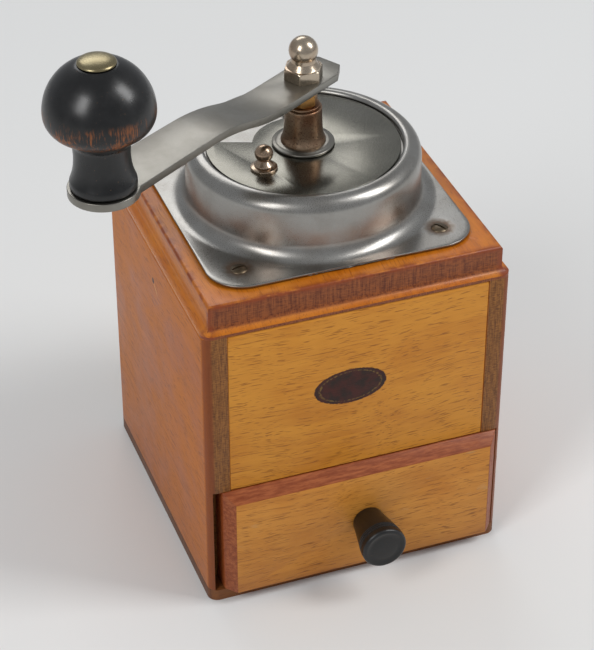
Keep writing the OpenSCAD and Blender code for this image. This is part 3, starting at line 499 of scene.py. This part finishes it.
def emblem(tree, place, normal, colour):
    """A plain dark oval transfer on the front, with a thin dull line inside its rim."""
    parts = add(tree, "ShaderNodeSeparateXYZ", {0: place}).outputs
    x = math(tree, "DIVIDE", math(tree, "SUBTRACT", parts[0], EMBLEM_MIDDLE[0]), EMBLEM_HALF[0])
    z = math(tree, "DIVIDE", math(tree, "SUBTRACT", parts[2], EMBLEM_MIDDLE[1]), EMBLEM_HALF[1])
    away = math(tree, "SQRT", math(tree, "ADD", math(tree, "MULTIPLY", x, x), math(tree, "MULTIPLY", z, z)))
    ragged = noise(tree, stretch(tree, place, (1000, 1000, 1000)), 0.9, 3, 0.6)
    away = math(tree, "ADD", away, math(tree, "MULTIPLY", math(tree, "SUBTRACT", ragged, 0.5), 0.10))
    inside = math(tree, "MULTIPLY", ramp(tree, away, 0.97, 1.0, 1, 0),
                  ramp(tree, parts[1], -0.0585, -0.0580, 1, 0))
    tint = blend(tree, ramp(tree, noise(tree, stretch(tree, place, (1000, 1000, 1000)), 0.25, 3), 0.35, 0.7),
                 srgb(62, 20, 12), srgb(34, 18, 12))
    line = math(tree, "MULTIPLY", ramp(tree, away, 0.80, 0.83), ramp(tree, away, 0.86, 0.89, 1, 0))
    tint = blend(tree, math(tree, "MULTIPLY", line, ramp(tree, ragged, 0.4, 0.6)), tint, srgb(104, 78, 36))
    return blend(tree, inside, colour, tint)


def make_finishes():
    """Every finish by name, made once."""
    for build in (grain_group, wear_group, tarnish_group, edge_group):
        build()
    made = {}
    case = (Vector((-0.06, -0.06, 0.0)), Vector((0.06, 0.06, 0.124)))
    # The corner colours of case_wood and top_wood are painted shade on the rounded corners.
    made["case_wood"] = wood(
        "case_wood", srgb(178, 94, 8), srgb(144, 68, 4), srgb(196, 116, 20), srgb(112, 52, 8),
        srgb(142, 92, 42), srgb(88, 50, 20), along="Y", corner=srgb(120, 56, 14), roughness=0.44, sheen=0.08,
        ray_depth=0.7, extra=nail_mark,
        scuff=srgb(206, 138, 66), scuff_size=30, scuff_amount=0.42)
    made["panel_wood"] = wood(
        "panel_wood", srgb(198, 130, 36), srgb(168, 98, 18), srgb(208, 144, 52), srgb(128, 72, 14),
        scuff=srgb(170, 132, 84), scuff_size=20, scuff_amount=0.36, extra=emblem, roughness=0.44,
        sheen=0.1, ray_depth=0.75)
    made["top_wood"] = wood(
        "top_wood", srgb(188, 104, 18), srgb(150, 74, 10), srgb(204, 128, 36), srgb(118, 58, 12),
        srgb(140, 76, 32), srgb(92, 40, 14), along="Y", corner=srgb(122, 50, 14), roughness=0.38, sheen=0.2,
        edge=srgb(128, 56, 20), box=(Vector((-0.057, -0.057, 0.1)), Vector((0.057, 0.057, 0.136))))
    made["base_wood"] = wood(
        "base_wood", srgb(120, 70, 30), srgb(88, 46, 18), srgb(140, 88, 44), srgb(70, 36, 14),
        srgb(110, 64, 30), srgb(74, 40, 18), roughness=0.5, sheen=0.15)
    made["drawer_wood"] = wood(
        "drawer_wood", srgb(194, 126, 44), srgb(156, 90, 22), srgb(202, 142, 64), srgb(122, 70, 20),
        scuff=srgb(182, 148, 104), scuff_size=14, scuff_amount=0.47, roughness=0.44, sheen=0.1, ray_depth=0.75,
        extra=bevel_stain_and_highlight)
    made["inner_wood"] = wood(
        "inner_wood", srgb(206, 168, 116), srgb(184, 142, 90), srgb(216, 182, 134), srgb(160, 116, 70),
        srgb(190, 150, 102), srgb(160, 120, 78), roughness=0.6, sheen=0.0)
    made["nickel_sheet"] = metal(
        "nickel_sheet", srgb(158, 156, 152), srgb(134, 130, 124), srgb(84, 74, 62), roughness=0.30, pits=0.28,
        extra=cover_stains)
    made["lid_nickel"] = metal(
        "lid_nickel", srgb(122, 120, 112), srgb(104, 102, 94), srgb(70, 62, 52), roughness=0.24, pits=0.30)
    made["nickel_bar"] = metal(
        "nickel_bar", srgb(140, 137, 130), srgb(118, 114, 106), srgb(84, 72, 58), roughness=0.33, pits=0.30)
    made["nut_nickel"] = metal(
        "nut_nickel", srgb(186, 172, 154), srgb(146, 112, 84), srgb(96, 58, 36), roughness=0.24, pits=0.44)
    made["pitted_steel"] = metal(
        "pitted_steel", srgb(166, 142, 118), srgb(122, 84, 60), srgb(70, 40, 26), roughness=0.30, pits=0.56,
        stain_depth=0.9, depth=0.0001)
    made["screw_steel"] = metal(
        "screw_steel", srgb(112, 100, 84), srgb(84, 70, 54), srgb(48, 34, 24), roughness=0.4, pits=0.5)
    made["burr_iron"] = metal(
        "burr_iron", srgb(96, 92, 88), srgb(76, 70, 64), srgb(46, 38, 32), roughness=0.5, pits=0.5)
    made["nut_brass"] = metal(
        "nut_brass", srgb(176, 132, 78), srgb(134, 92, 52), srgb(84, 50, 28), roughness=0.32, pits=0.5)
    made["cap_nickel"] = metal(
        "cap_nickel", srgb(152, 142, 112), srgb(120, 106, 76), srgb(74, 56, 38), roughness=0.30, pits=0.42)
    made["knob_lacquer"] = lacquer("knob_lacquer", srgb(14, 14, 14), 0.34)
    return made


def bevel_stain_and_highlight(tree, place, normal, colour):
    """Red-brown stain on the bevels and edges of the drawer front, between its flat front and back, broken by paler
    pink streaks that are a painted highlight.
    """
    parts = add(tree, "ShaderNodeSeparateXYZ", {0: normal}).outputs
    facing = math(tree, "ABSOLUTE", parts[1])
    side = ramp(tree, facing, 0.93, 0.995, 1, 0)
    # The red-brown is stain; the paler pink streaks that the worn mask brings in are a painted highlight.
    worn = ramp(tree, noise(tree, stretch(tree, place, (160, 1000, 1000)), 0.9, 4, 0.65), 0.3, 0.75)
    stain = blend(tree, worn, srgb(120, 52, 16), srgb(160, 88, 46))
    return blend(tree, side, colour, stain)


finishes = {}


# ---------------------------------------------------------------- sizes that a user would change

class MILL_PG_cover(bpy.types.PropertyGroup):
    """Pressed cover and lid"""
    dome_radius: bpy.props.FloatProperty(
        name="Dome radius", description="Outer radius of the dome's wall", default=0.0443,
        min=0.043, max=0.045, unit="LENGTH")
    shoulder_radius: bpy.props.FloatProperty(
        name="Shoulder radius", description="Radius between the wall and the top of the dome", default=0.0055,
        min=0.003, max=0.007, unit="LENGTH")
    foot_radius: bpy.props.FloatProperty(
        name="Foot radius", description="Radius of the fillet at the foot of the dome", default=0.006,
        min=0.003, max=0.006, unit="LENGTH")
    dimple_depth: bpy.props.FloatProperty(
        name="Dimple depth", description="Depth of the dimple round each screw", default=0.0006,
        min=0.0, max=0.0008, unit="LENGTH")


class MILL_PG_wood(bpy.types.PropertyGroup):
    """Boards"""
    board_edge: bpy.props.FloatProperty(
        name="Board edge", description="Rounding of the case boards' edges", default=0.0006,
        min=0.0002, max=0.001, unit="LENGTH")
    front_edge: bpy.props.FloatProperty(
        name="Drawer front edge", description="Rounding of the drawer front's edges", default=0.0008,
        min=0.0003, max=0.0012, unit="LENGTH")


class MILL_PG_crank(bpy.types.PropertyGroup):
    """Crank and knobs"""
    azimuth: bpy.props.FloatProperty(
        name="Crank direction", description="Direction of the crank at rest, from the X axis",
        default=radians(211.4), subtype="ANGLE")
    length: bpy.props.FloatProperty(
        name="Crank length", description="Distance from the shaft to the knob", default=0.1075, unit="LENGTH")
    arm_edge: bpy.props.FloatProperty(
        name="Arm edge", description="Rounding of the arm's edges", default=0.0010,
        min=0.0003, max=0.0014, unit="LENGTH")


class MILL_PG_stage(bpy.types.PropertyGroup):
    """Camera and lights"""
    azimuth: bpy.props.FloatProperty(
        name="Azimuth", description="Direction of the camera round the mill", default=radians(-20.214),
        subtype="ANGLE")
    elevation: bpy.props.FloatProperty(
        name="Elevation", description="Height of the camera above the horizon", default=radians(35.745),
        subtype="ANGLE")
    distance: bpy.props.FloatProperty(
        name="Distance", description="Distance from the camera to the middle of the mill", default=0.90238,
        unit="LENGTH")
    lens: bpy.props.FloatProperty(
        name="Lens", description="Focal length in millimetres on a 36 mm sensor", default=126.45)
    floor_colour: bpy.props.FloatVectorProperty(
        name="Floor", description="Colour of the floor", default=(0.74, 0.74, 0.73), size=3, subtype="COLOR",
        min=0, max=1)


# ---------------------------------------------------------------- stage

class MILL_OT_stage(bpy.types.Operator):
    """Camera, floor, world and soft lights"""
    bl_idname = "mill.stage"
    bl_label = "Stage"

    def execute(self, context):
        values = context.scene.mill_stage
        turn, lift = values.azimuth, values.elevation
        right = Vector((cos(turn), sin(turn), 0))
        back = Vector((sin(turn) * cos(lift), -cos(turn) * cos(lift), sin(lift)))
        up = back.cross(right)
        target = Vector((0, 0, 0.070)) - right * 0.002313 + up * 0.005090
        camera = bpy.data.objects.new("camera", bpy.data.cameras.new("camera"))
        context.scene.collection.objects.link(camera)
        camera.matrix_world = Matrix((
            (right.x, up.x, back.x, 0), (right.y, up.y, back.y, 0), (right.z, up.z, back.z, 0), (0, 0, 0, 1)))
        camera.location = target + back * values.distance
        camera.data.lens = values.lens
        camera.data.sensor_width = 36
        camera.data.clip_start, camera.data.clip_end = 0.05, 20
        context.scene.camera = camera

        select_none()
        bpy.ops.mesh.primitive_plane_add(size=6, location=(0, 0, 0))
        floor = named("floor")
        material, tree, shader, place, normal = shader_of("floor")
        soft = noise(tree, place, 3.0, 3)
        tone = blend(tree, ramp(tree, soft, 0.3, 0.7, 0, 0.06), (*values.floor_colour, 1), (0.6, 0.6, 0.6, 1))
        tree.links.new(tone, shader.inputs["Base Color"])
        shader.inputs["Roughness"].default_value = 0.9
        floor.data.materials.append(material)

        world = bpy.data.worlds.new("studio")
        world.use_nodes = True
        context.scene.world = world
        tree = world.node_tree
        rays = tree.nodes.new("ShaderNodeLightPath").outputs
        seen = math(tree, "MAXIMUM", rays["Is Camera Ray"], rays["Is Transmission Ray"])
        soft = tree.nodes["Background"]
        soft.inputs["Color"].default_value = (0.93, 0.96, 1.0, 1)
        soft.inputs["Strength"].default_value = 0.42
        pale = add(tree, "ShaderNodeBackground", {"Color": (0.9, 0.9, 0.9, 1), "Strength": 1.0})
        mixed = add(tree, "ShaderNodeMixShader", {0: seen, 1: soft.outputs[0], 2: pale.outputs[0]})
        tree.links.new(mixed.outputs[0], tree.nodes["World Output"].inputs["Surface"])

        self.lamp("left_light", (-1.15, -0.75, 1.15), (0.5, 0.9), 11.0)
        self.lamp("right_light", (1.05, -0.55, 1.25), (0.5, 0.9), 13.0)
        self.lamp("back_light", (0.1, 1.3, 1.2), (1.0, 0.5), 5.0)
        view = context.scene.view_settings
        view.view_transform = "Standard"
        return {"FINISHED"}

    def lamp(self, name, place, size, power):
        light = bpy.data.lights.new(name, "AREA")
        light.shape = "RECTANGLE"
        light.size, light.size_y = size
        light.energy = power
        holder = bpy.data.objects.new(name, light)
        bpy.context.scene.collection.objects.link(holder)
        holder.location = place
        holder.rotation_euler = (Vector((0, 0, 0.1)) - Vector(place)).to_track_quat("-Z", "Y").to_euler()


# ---------------------------------------------------------------- wood

class MILL_OT_case(bpy.types.Operator):
    """Base, side, front and back boards with eased edges"""
    bl_idname = "mill.case"
    bl_label = "Case boards"

    def execute(self, context):
        edge = context.scene.mill_wood.board_edge / MM
        for node, finish, slot in (
                ("side_board_left", "case_wood", "case_wood"), ("side_board_right", "case_wood", "case_wood"),
                ("back_panel", "panel_wood", "case_wood"), ("front_panel", "panel_wood", "panel_wood"),
                ("base_board", "base_wood", "base_wood")):
            piece = eased(node + "_eased", node, edge)
            dress(piece, finishes[finish], "case", slot, node)
        finish_nodes(finishes["inner_wood"], "drawer_rail_left", "drawer_rail_right")
        return {"FINISHED"}


class MILL_OT_top(bpy.types.Operator):
    """Top board with its cove and rounded edge"""
    bl_idname = "mill.top"
    bl_label = "Top board"

    def execute(self, context):
        piece = eased("top_board_eased", "top_board", 0.5)
        dress(piece, finishes["top_wood"], "case", "top_wood", "top_board")
        return {"FINISHED"}


class MILL_OT_drawer(bpy.types.Operator):
    """Drawer front with its bevels, and the drawer box behind it"""
    bl_idname = "mill.drawer"
    bl_label = "Drawer"

    def execute(self, context):
        edge = context.scene.mill_wood.front_edge / MM
        piece = eased("drawer_front_eased", "drawer_front", edge, sharp=20)
        dress(piece, finishes["drawer_wood"], "drawer", "drawer_wood", "drawer_front")
        finish_nodes(finishes["inner_wood"], "drawer_side_left", "drawer_side_right", "drawer_back", "drawer_bottom")
        finish_nodes(finishes["screw_steel"], "drawer_knob_screw")
        return {"FINISHED"}


# ---------------------------------------------------------------- cover and lid

class MILL_OT_cover(bpy.types.Operator):
    """Pressed steel cover: spun dome and a square flange with dimples"""
    bl_idname = "mill.cover"
    bl_label = "Cover"

    def execute(self, context):
        values = context.scene.mill_cover
        low, high = (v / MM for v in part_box("hopper_cover"))
        sheet = 1.0
        flat = low.z + sheet
        wall, foot, shoulder = values.dome_radius / MM, values.foot_radius / MM, values.shoulder_radius / MM
        mouth = (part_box("lid_disc")[1].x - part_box("lid_disc")[0].x) / 2 / MM + 0.8
        roll = 1.5
        profile = [(mouth, low.z + 22.2), (mouth, high.z - roll - 0.4)]
        profile += arc((mouth + roll, high.z - roll), roll, 180, 90, 8)
        profile += arc((wall - shoulder, high.z - shoulder), shoulder, 90, 0, 16)[1:]
        profile += [(wall, high.z - shoulder - step * (high.z - shoulder - flat - foot) / 4) for step in (1, 2, 3)]
        profile += arc((wall + foot, flat + foot), foot, 180, 270, 14)
        rings = 14
        half, corner = (high.x - low.x) / 2, 14.0
        start = wall + foot
        profile += [(start + (half - start) * (i + 1) / rings, flat) for i in range(rings)]
        steps = 256
        piece = lathe("pressed_cover", profile, steps, closed=False, smooth_angle=60)
        for vertex in piece.data.vertices:
            x, y, z = vertex.co / MM
            radius = hypot(x, y)
            if radius > start + 1e-4:
                share = (radius - start) / (half - start)
                reach = self.outline(atan2(y, x), half, corner)
                radius = start + (reach - start) * share
                turn = atan2(y, x)
                x, y = radius * cos(turn), radius * sin(turn)
                away = min(hypot(abs(x) - SCREW_AT, abs(y) - SCREW_AT) / 6.2, 1)
                dimple = values.dimple_depth / MM * (0.5 + 0.5 * cos(pi * away))
                drop = 0.35 * max(0, share - 0.9) / 0.1
                vertex.co = Vector((x, y, flat - dimple - drop * drop)) * MM
        self.turn_up(piece)
        apply_modifier(piece, "SOLIDIFY", thickness=0.92 * MM, offset=-1)
        edit(piece)
        bpy.ops.mesh.select_mode(type="EDGE")
        bpy.ops.mesh.edges_select_sharp(sharpness=radians(60))
        bpy.ops.mesh.bevel(offset=0.22 * MM, segments=2)
        close(piece, 50)
        dress(piece, finishes["nickel_sheet"], "case", "nickel_sheet", "hopper_cover")
        return {"FINISHED"}

    def turn_up(self, piece):
        """The flange's faces look upwards, so that the sheet grows downwards."""
        flange = max(piece.data.polygons, key=lambda face: face.center.x)
        if flange.normal.z < 0:
            edit(piece)
            bpy.ops.mesh.select_all(action="SELECT")
            bpy.ops.mesh.flip_normals()
            bpy.ops.object.mode_set(mode="OBJECT")

    def outline(self, turn, half, corner):
        """Reach of a square with round corners in one direction."""
        x, y = abs(cos(turn)), abs(sin(turn))
        inner = half - corner
        reach = half / max(x, y)
        if min(x, y) * reach <= inner:
            return reach
        along = inner * (x + y)
        return along + sqrt(along * along - (2 * inner * inner - corner * corner))


class MILL_OT_screws(bpy.types.Operator):
    """Four slotted screws in the flange, made once and copied"""
    bl_idname = "mill.screws"
    bl_label = "Cover screws"

    def execute(self, context):
        low, high = (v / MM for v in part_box("cover_screws"))
        head = SCREW_HEAD
        top = high.z
        profile = [(0, low.z), (0.8, low.z), (1.6, low.z + 3.2), (1.6, top - 1.3), (head - 0.15, top - 1.3)]
        profile += arc((0, top - 1.3), head, 6, 90, 10, 1.3)
        first = lathe("cover_screw_1", profile, 40, smooth_angle=40)
        select_none()
        bpy.ops.mesh.primitive_cube_add(size=1, location=(0, 0, (top + 0.15) * MM),
                                        scale=(9 * MM, 0.85 * MM, 1.7 * MM))
        cutter = named("slot_cutter")
        apply_modifier(first, "BOOLEAN", operation="DIFFERENCE", object=cutter, solver="EXACT")
        bpy.data.objects.remove(cutter)
        close(first, 40)
        turns = {(-1, -1): 8, (1, -1): -58, (-1, 1): 40, (1, 1): 100}
        for number, (place, turn) in enumerate(turns.items(), 1):
            if number == 1:
                piece = first
                mesh = first.data.copy()
            else:
                piece = bpy.data.objects.new(f"cover_screw_{number}", mesh.copy())
                context.scene.collection.objects.link(piece)
            piece.rotation_euler = (0, 0, radians(turn))
            piece.location = (place[0] * SCREW_AT * MM, place[1] * SCREW_AT * MM, 0)
            settle(piece)
            dress(piece, finishes["screw_steel"], "case", "screw_steel")
        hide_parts("cover_screws")
        return {"FINISHED"}


class MILL_OT_lid(bpy.types.Operator):
    """Lid disc, its little knob, the collar ring and the worn bearing sleeve"""
    bl_idname = "mill.lid"
    bl_label = "Lid and sleeve"

    def execute(self, context):
        disc = eased("lid_disc_eased", "lid_disc", 0.35, sharp=50)
        dress(disc, finishes["lid_nickel"], "lid", "nickel_sheet", "lid_disc")

        low, high = (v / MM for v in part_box("lid_knob"))
        centre = ((low.x + high.x) / 2, (low.y + high.y) / 2)
        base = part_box("lid_disc")[1].z / MM
        profile = [(0, low.z), (1.5, low.z), (1.5, base)]
        profile += [(5, base)] + arc((4.7, base + 0.55), 0.35, -10, 80, 4)
        profile += [(4.2, base + 1.15)] + arc((3.3, base + 1.6), 0.35, -80, 60, 4)
        profile += [(2.9, base + 2.5), (2.2, base + 3.1), (1.95, base + 3.5)]
        profile += arc((0, base + 6.2), 3.4, -55, 90, 20)
        knob = lathe("lid_knob_turned", profile, 64, centre)
        dress(knob, finishes["nut_nickel"], "lid", "nickel_bar", "lid_knob")

        low, high = (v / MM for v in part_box("lid_collar"))
        outer = (high.x - low.x) / 2
        profile = [(6.22, low.z), (7.2, low.z), (7.2, high.z - 1.4), (outer - 0.1, high.z - 1.4)]
        profile += arc((outer - 0.5, high.z - 0.9), 0.5, -20, 60, 4)
        profile += arc((outer - 2.4, high.z - 1.9), 1.9, 50, 90, 5) + [(6.22, high.z)]
        collar = lathe("lid_collar_turned", profile, 96)
        dress(collar, finishes["nickel_bar"], "case", "nickel_sheet", "lid_collar")

        low, high = (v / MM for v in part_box("bearing_sleeve"))
        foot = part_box("lid_collar")[1].z / MM
        profile = [(5.08, low.z), (6.2, low.z), (6.2, foot), (8.5, foot), (8.45, foot + 0.5)]
        profile += [(8.1, foot + 1.2), (7.7, foot + 2.2), (7.4, foot + 3.4), (7.25, foot + 5), (7.1, foot + 8)]
        profile += [(7.0, foot + 11), (6.95, high.z - 0.9)] + arc((6.45, high.z - 0.5), 0.5, 0, 90, 4)
        profile += [(5.08, high.z)]
        sleeve = lathe("bearing_sleeve_turned", profile, 96)
        dress(sleeve, finishes["pitted_steel"], "case", "pitted_steel", "bearing_sleeve")
        finish_nodes(finishes["nickel_sheet"], "filler_plate", "hopper_funnel")
        return {"FINISHED"}


# ---------------------------------------------------------------- crank

class MILL_OT_crank(bpy.types.Operator):
    """Crank arm, acorn nut, adjusting nut, washer and the knob's spindle"""
    bl_idname = "mill.crank"
    bl_label = "Crank"

    def execute(self, context):
        values = context.scene.mill_crank
        arm = eased("crank_arm_eased", "crank_arm", values.arm_edge / MM, 4, sharp=50)
        dress(arm, finishes["nickel_bar"], "spindle", "nickel_bar", "crank_arm")
        nut = eased("acorn_nut_eased", "acorn_nut", 0.3, 3, sharp=25)
        dress(nut, finishes["nut_nickel"], "spindle", "nickel_bar", "acorn_nut")
        adjuster = eased("adjusting_nut_eased", "adjusting_nut", 0.3, 3, sharp=25)
        dress(adjuster, finishes["nut_brass"], "adjuster", "nut_brass", "adjusting_nut")
        washer = eased("thrust_washer_eased", "thrust_washer", 0.25, 3)
        dress(washer, finishes["pitted_steel"], "washer", "pitted_steel", "thrust_washer")
        finish_nodes(finishes["nickel_bar"], "drive_shaft", "burr_pin")

        low, high = (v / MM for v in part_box("knob_spindle"))
        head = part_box("crank_knob")[1].z / MM + 0.2
        centre = self.knob_centre(values)
        profile = [(0, low.z), (3.8, low.z), (4.4, low.z + 0.9), (3.2, low.z + 1), (3.2, head)]
        profile += [(6.3, head), (6.6, head + 0.25)] + arc((0, head + 0.25), 6.6, 4, 90, 14, high.z - head - 0.25)
        spindle = lathe("knob_spindle_turned", profile, 72, centre)
        dress(spindle, finishes["cap_nickel"], "spindle", "nickel_bar", "knob_spindle")
        return {"FINISHED"}

    @staticmethod
    def knob_centre(values):
        reach = values.length / MM
        return (reach * cos(values.azimuth), reach * sin(values.azimuth))


class MILL_OT_knobs(bpy.types.Operator):
    """Turned black crank knob and ribbed drawer knob"""
    bl_idname = "mill.knobs"
    bl_label = "Knobs"

    def execute(self, context):
        low, high = (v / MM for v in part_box("crank_knob"))
        centre = MILL_OT_crank.knob_centre(context.scene.mill_crank)
        height = high.z - low.z
        foot, waist, widest, head, lip = 11.5, 9.6, (high.x - low.x) / 2, 6.6, 8
        ball = low.z + 0.62 * height
        top = sqrt(1 - ((head + 0.4) / widest) ** 2)
        profile = [(3.28, low.z), (foot - 0.7, low.z), (foot - 0.25, low.z + 0.2), (foot, low.z + 0.8)]
        profile += arc((waist + 7, low.z + 0.26 * height), 7, 222, 152, 24, 14)
        profile += arc((widest - lip, ball), lip, -52, -8, 16)
        profile += arc((0, ball), widest, 0, degrees(acos((head + 0.4) / widest)), 34, (high.z - ball) / top)
        profile += [(head - 0.2, high.z), (3.28, high.z)]
        knob = lathe("crank_knob_turned", self.eased_line(profile), 128, centre, 60)
        x, y = centre[0] * MM, centre[1] * MM
        finish = lacquer("crank_knob_lacquer", srgb(10, 10, 11), 0.27,
                         knob_wear((low.z + 20) * MM, (low.z + 33) * MM, (x, y)))
        dress(knob, finish, "handle", "knob_lacquer", "crank_knob")

        low, high = (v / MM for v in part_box("drawer_knob"))
        centre = ((low.x + high.x) / 2, (low.z + high.z) / 2)
        length, rim = high.y - low.y, (high.x - low.x) / 2
        back = 6.0
        profile = [(2.02, 0), (back - 0.3, 0), (back, 0.3)]
        slope = (rim - back) / (length - 3.4)
        for number in range(3):
            z = length - 5.6 + number * 1.15
            r = back + slope * min(z, length - 3.4)
            profile += [(r - 0.02, z - 0.35), (r - 0.3, z - 0.15), (r - 0.3, z + 0.15), (r, z + 0.35)]
        profile += arc((rim - 1.2, length - 1.3), 1.2, 0, 80, 6)
        profile += [(rim - 1.7, length - 0.25), (rim - 2.1, length - 0.45)]
        profile += arc((0, length - 0.9), rim - 2.5, 20, 90, 8, 0.75)[1:-1]
        profile += [(0, length - 0.15), (0, length - 4), (2.02, length - 4)]
        knob = lathe("drawer_knob_turned", profile, 96, closed=True)
        knob.rotation_euler = (pi / 2, 0, 0)
        knob.location = (centre[0] * MM, high.y * MM, centre[1] * MM)
        settle(knob)
        dress(knob, finishes["knob_lacquer"], "drawer", "knob_lacquer", "drawer_knob")
        return {"FINISHED"}

    @staticmethod
    def eased_line(points):
        """The profile with its inner kinks softened."""
        line = list(points)
        for turn in range(3):
            line = line[:5] + [tuple((a[i] + 2 * b[i] + c[i]) / 4 for i in (0, 1))
                               for a, b, c in zip(line[4:-4], line[5:-3], line[6:-2])] + line[-3:]
        return line


class MILL_OT_works(bpy.types.Operator):
    """Finishes of the pieces inside: bridges, burrs, bush and their screws"""
    bl_idname = "mill.works"
    bl_label = "Inner works"

    def execute(self, context):
        finish_nodes(finishes["nickel_bar"], "upper_bridge", "bridge_nut", "lower_bridge")
        finish_nodes(finishes["screw_steel"], "bridge_screws", "burr_screws", "lower_bridge_screws", "base_screws")
        finish_nodes(finishes["burr_iron"], "outer_burr", "inner_burr")
        finish_nodes(finishes["nut_brass"], "bearing_bush")
        return {"FINISHED"}


class MILL_PT_panel(bpy.types.Panel):
    """Sidebar panel with every piece"""
    bl_idname = "MILL_PT_panel"
    bl_label = "Box Coffee Mill"
    bl_space_type = "VIEW_3D"
    bl_region_type = "UI"
    bl_category = "Mill"

    def draw(self, context):
        layout = self.layout
        for values in (context.scene.mill_wood, context.scene.mill_cover, context.scene.mill_crank,
                       context.scene.mill_stage):
            box = layout.box()
            for key in values.__annotations__:
                box.prop(values, key)
        for operator in OPERATORS:
            layout.operator(operator.bl_idname)


GROUPS = {"mill_wood": MILL_PG_wood, "mill_cover": MILL_PG_cover, "mill_crank": MILL_PG_crank,
          "mill_stage": MILL_PG_stage}
OPERATORS = (MILL_OT_stage, MILL_OT_case, MILL_OT_top, MILL_OT_drawer, MILL_OT_cover, MILL_OT_screws,
             MILL_OT_lid, MILL_OT_crank, MILL_OT_knobs, MILL_OT_works)


def register():
    for kind in (*GROUPS.values(), *OPERATORS, MILL_PT_panel):
        bpy.utils.register_class(kind)
    for name, kind in GROUPS.items():
        setattr(bpy.types.Scene, name, bpy.props.PointerProperty(type=kind))


def unregister():
    for name in GROUPS:
        delattr(bpy.types.Scene, name)
    for kind in reversed((*GROUPS.values(), *OPERATORS, MILL_PT_panel)):
        bpy.utils.unregister_class(kind)


def main():
    register()
    finishes.update(make_finishes())
    bpy.ops.mill.stage()
    bpy.ops.mill.case()
    bpy.ops.mill.top()
    bpy.ops.mill.drawer()
    bpy.ops.mill.cover()
    bpy.ops.mill.screws()
    bpy.ops.mill.lid()
    bpy.ops.mill.crank()
    bpy.ops.mill.knobs()
    bpy.ops.mill.works()
    select_none()


if __name__ == "__main__":
    main()
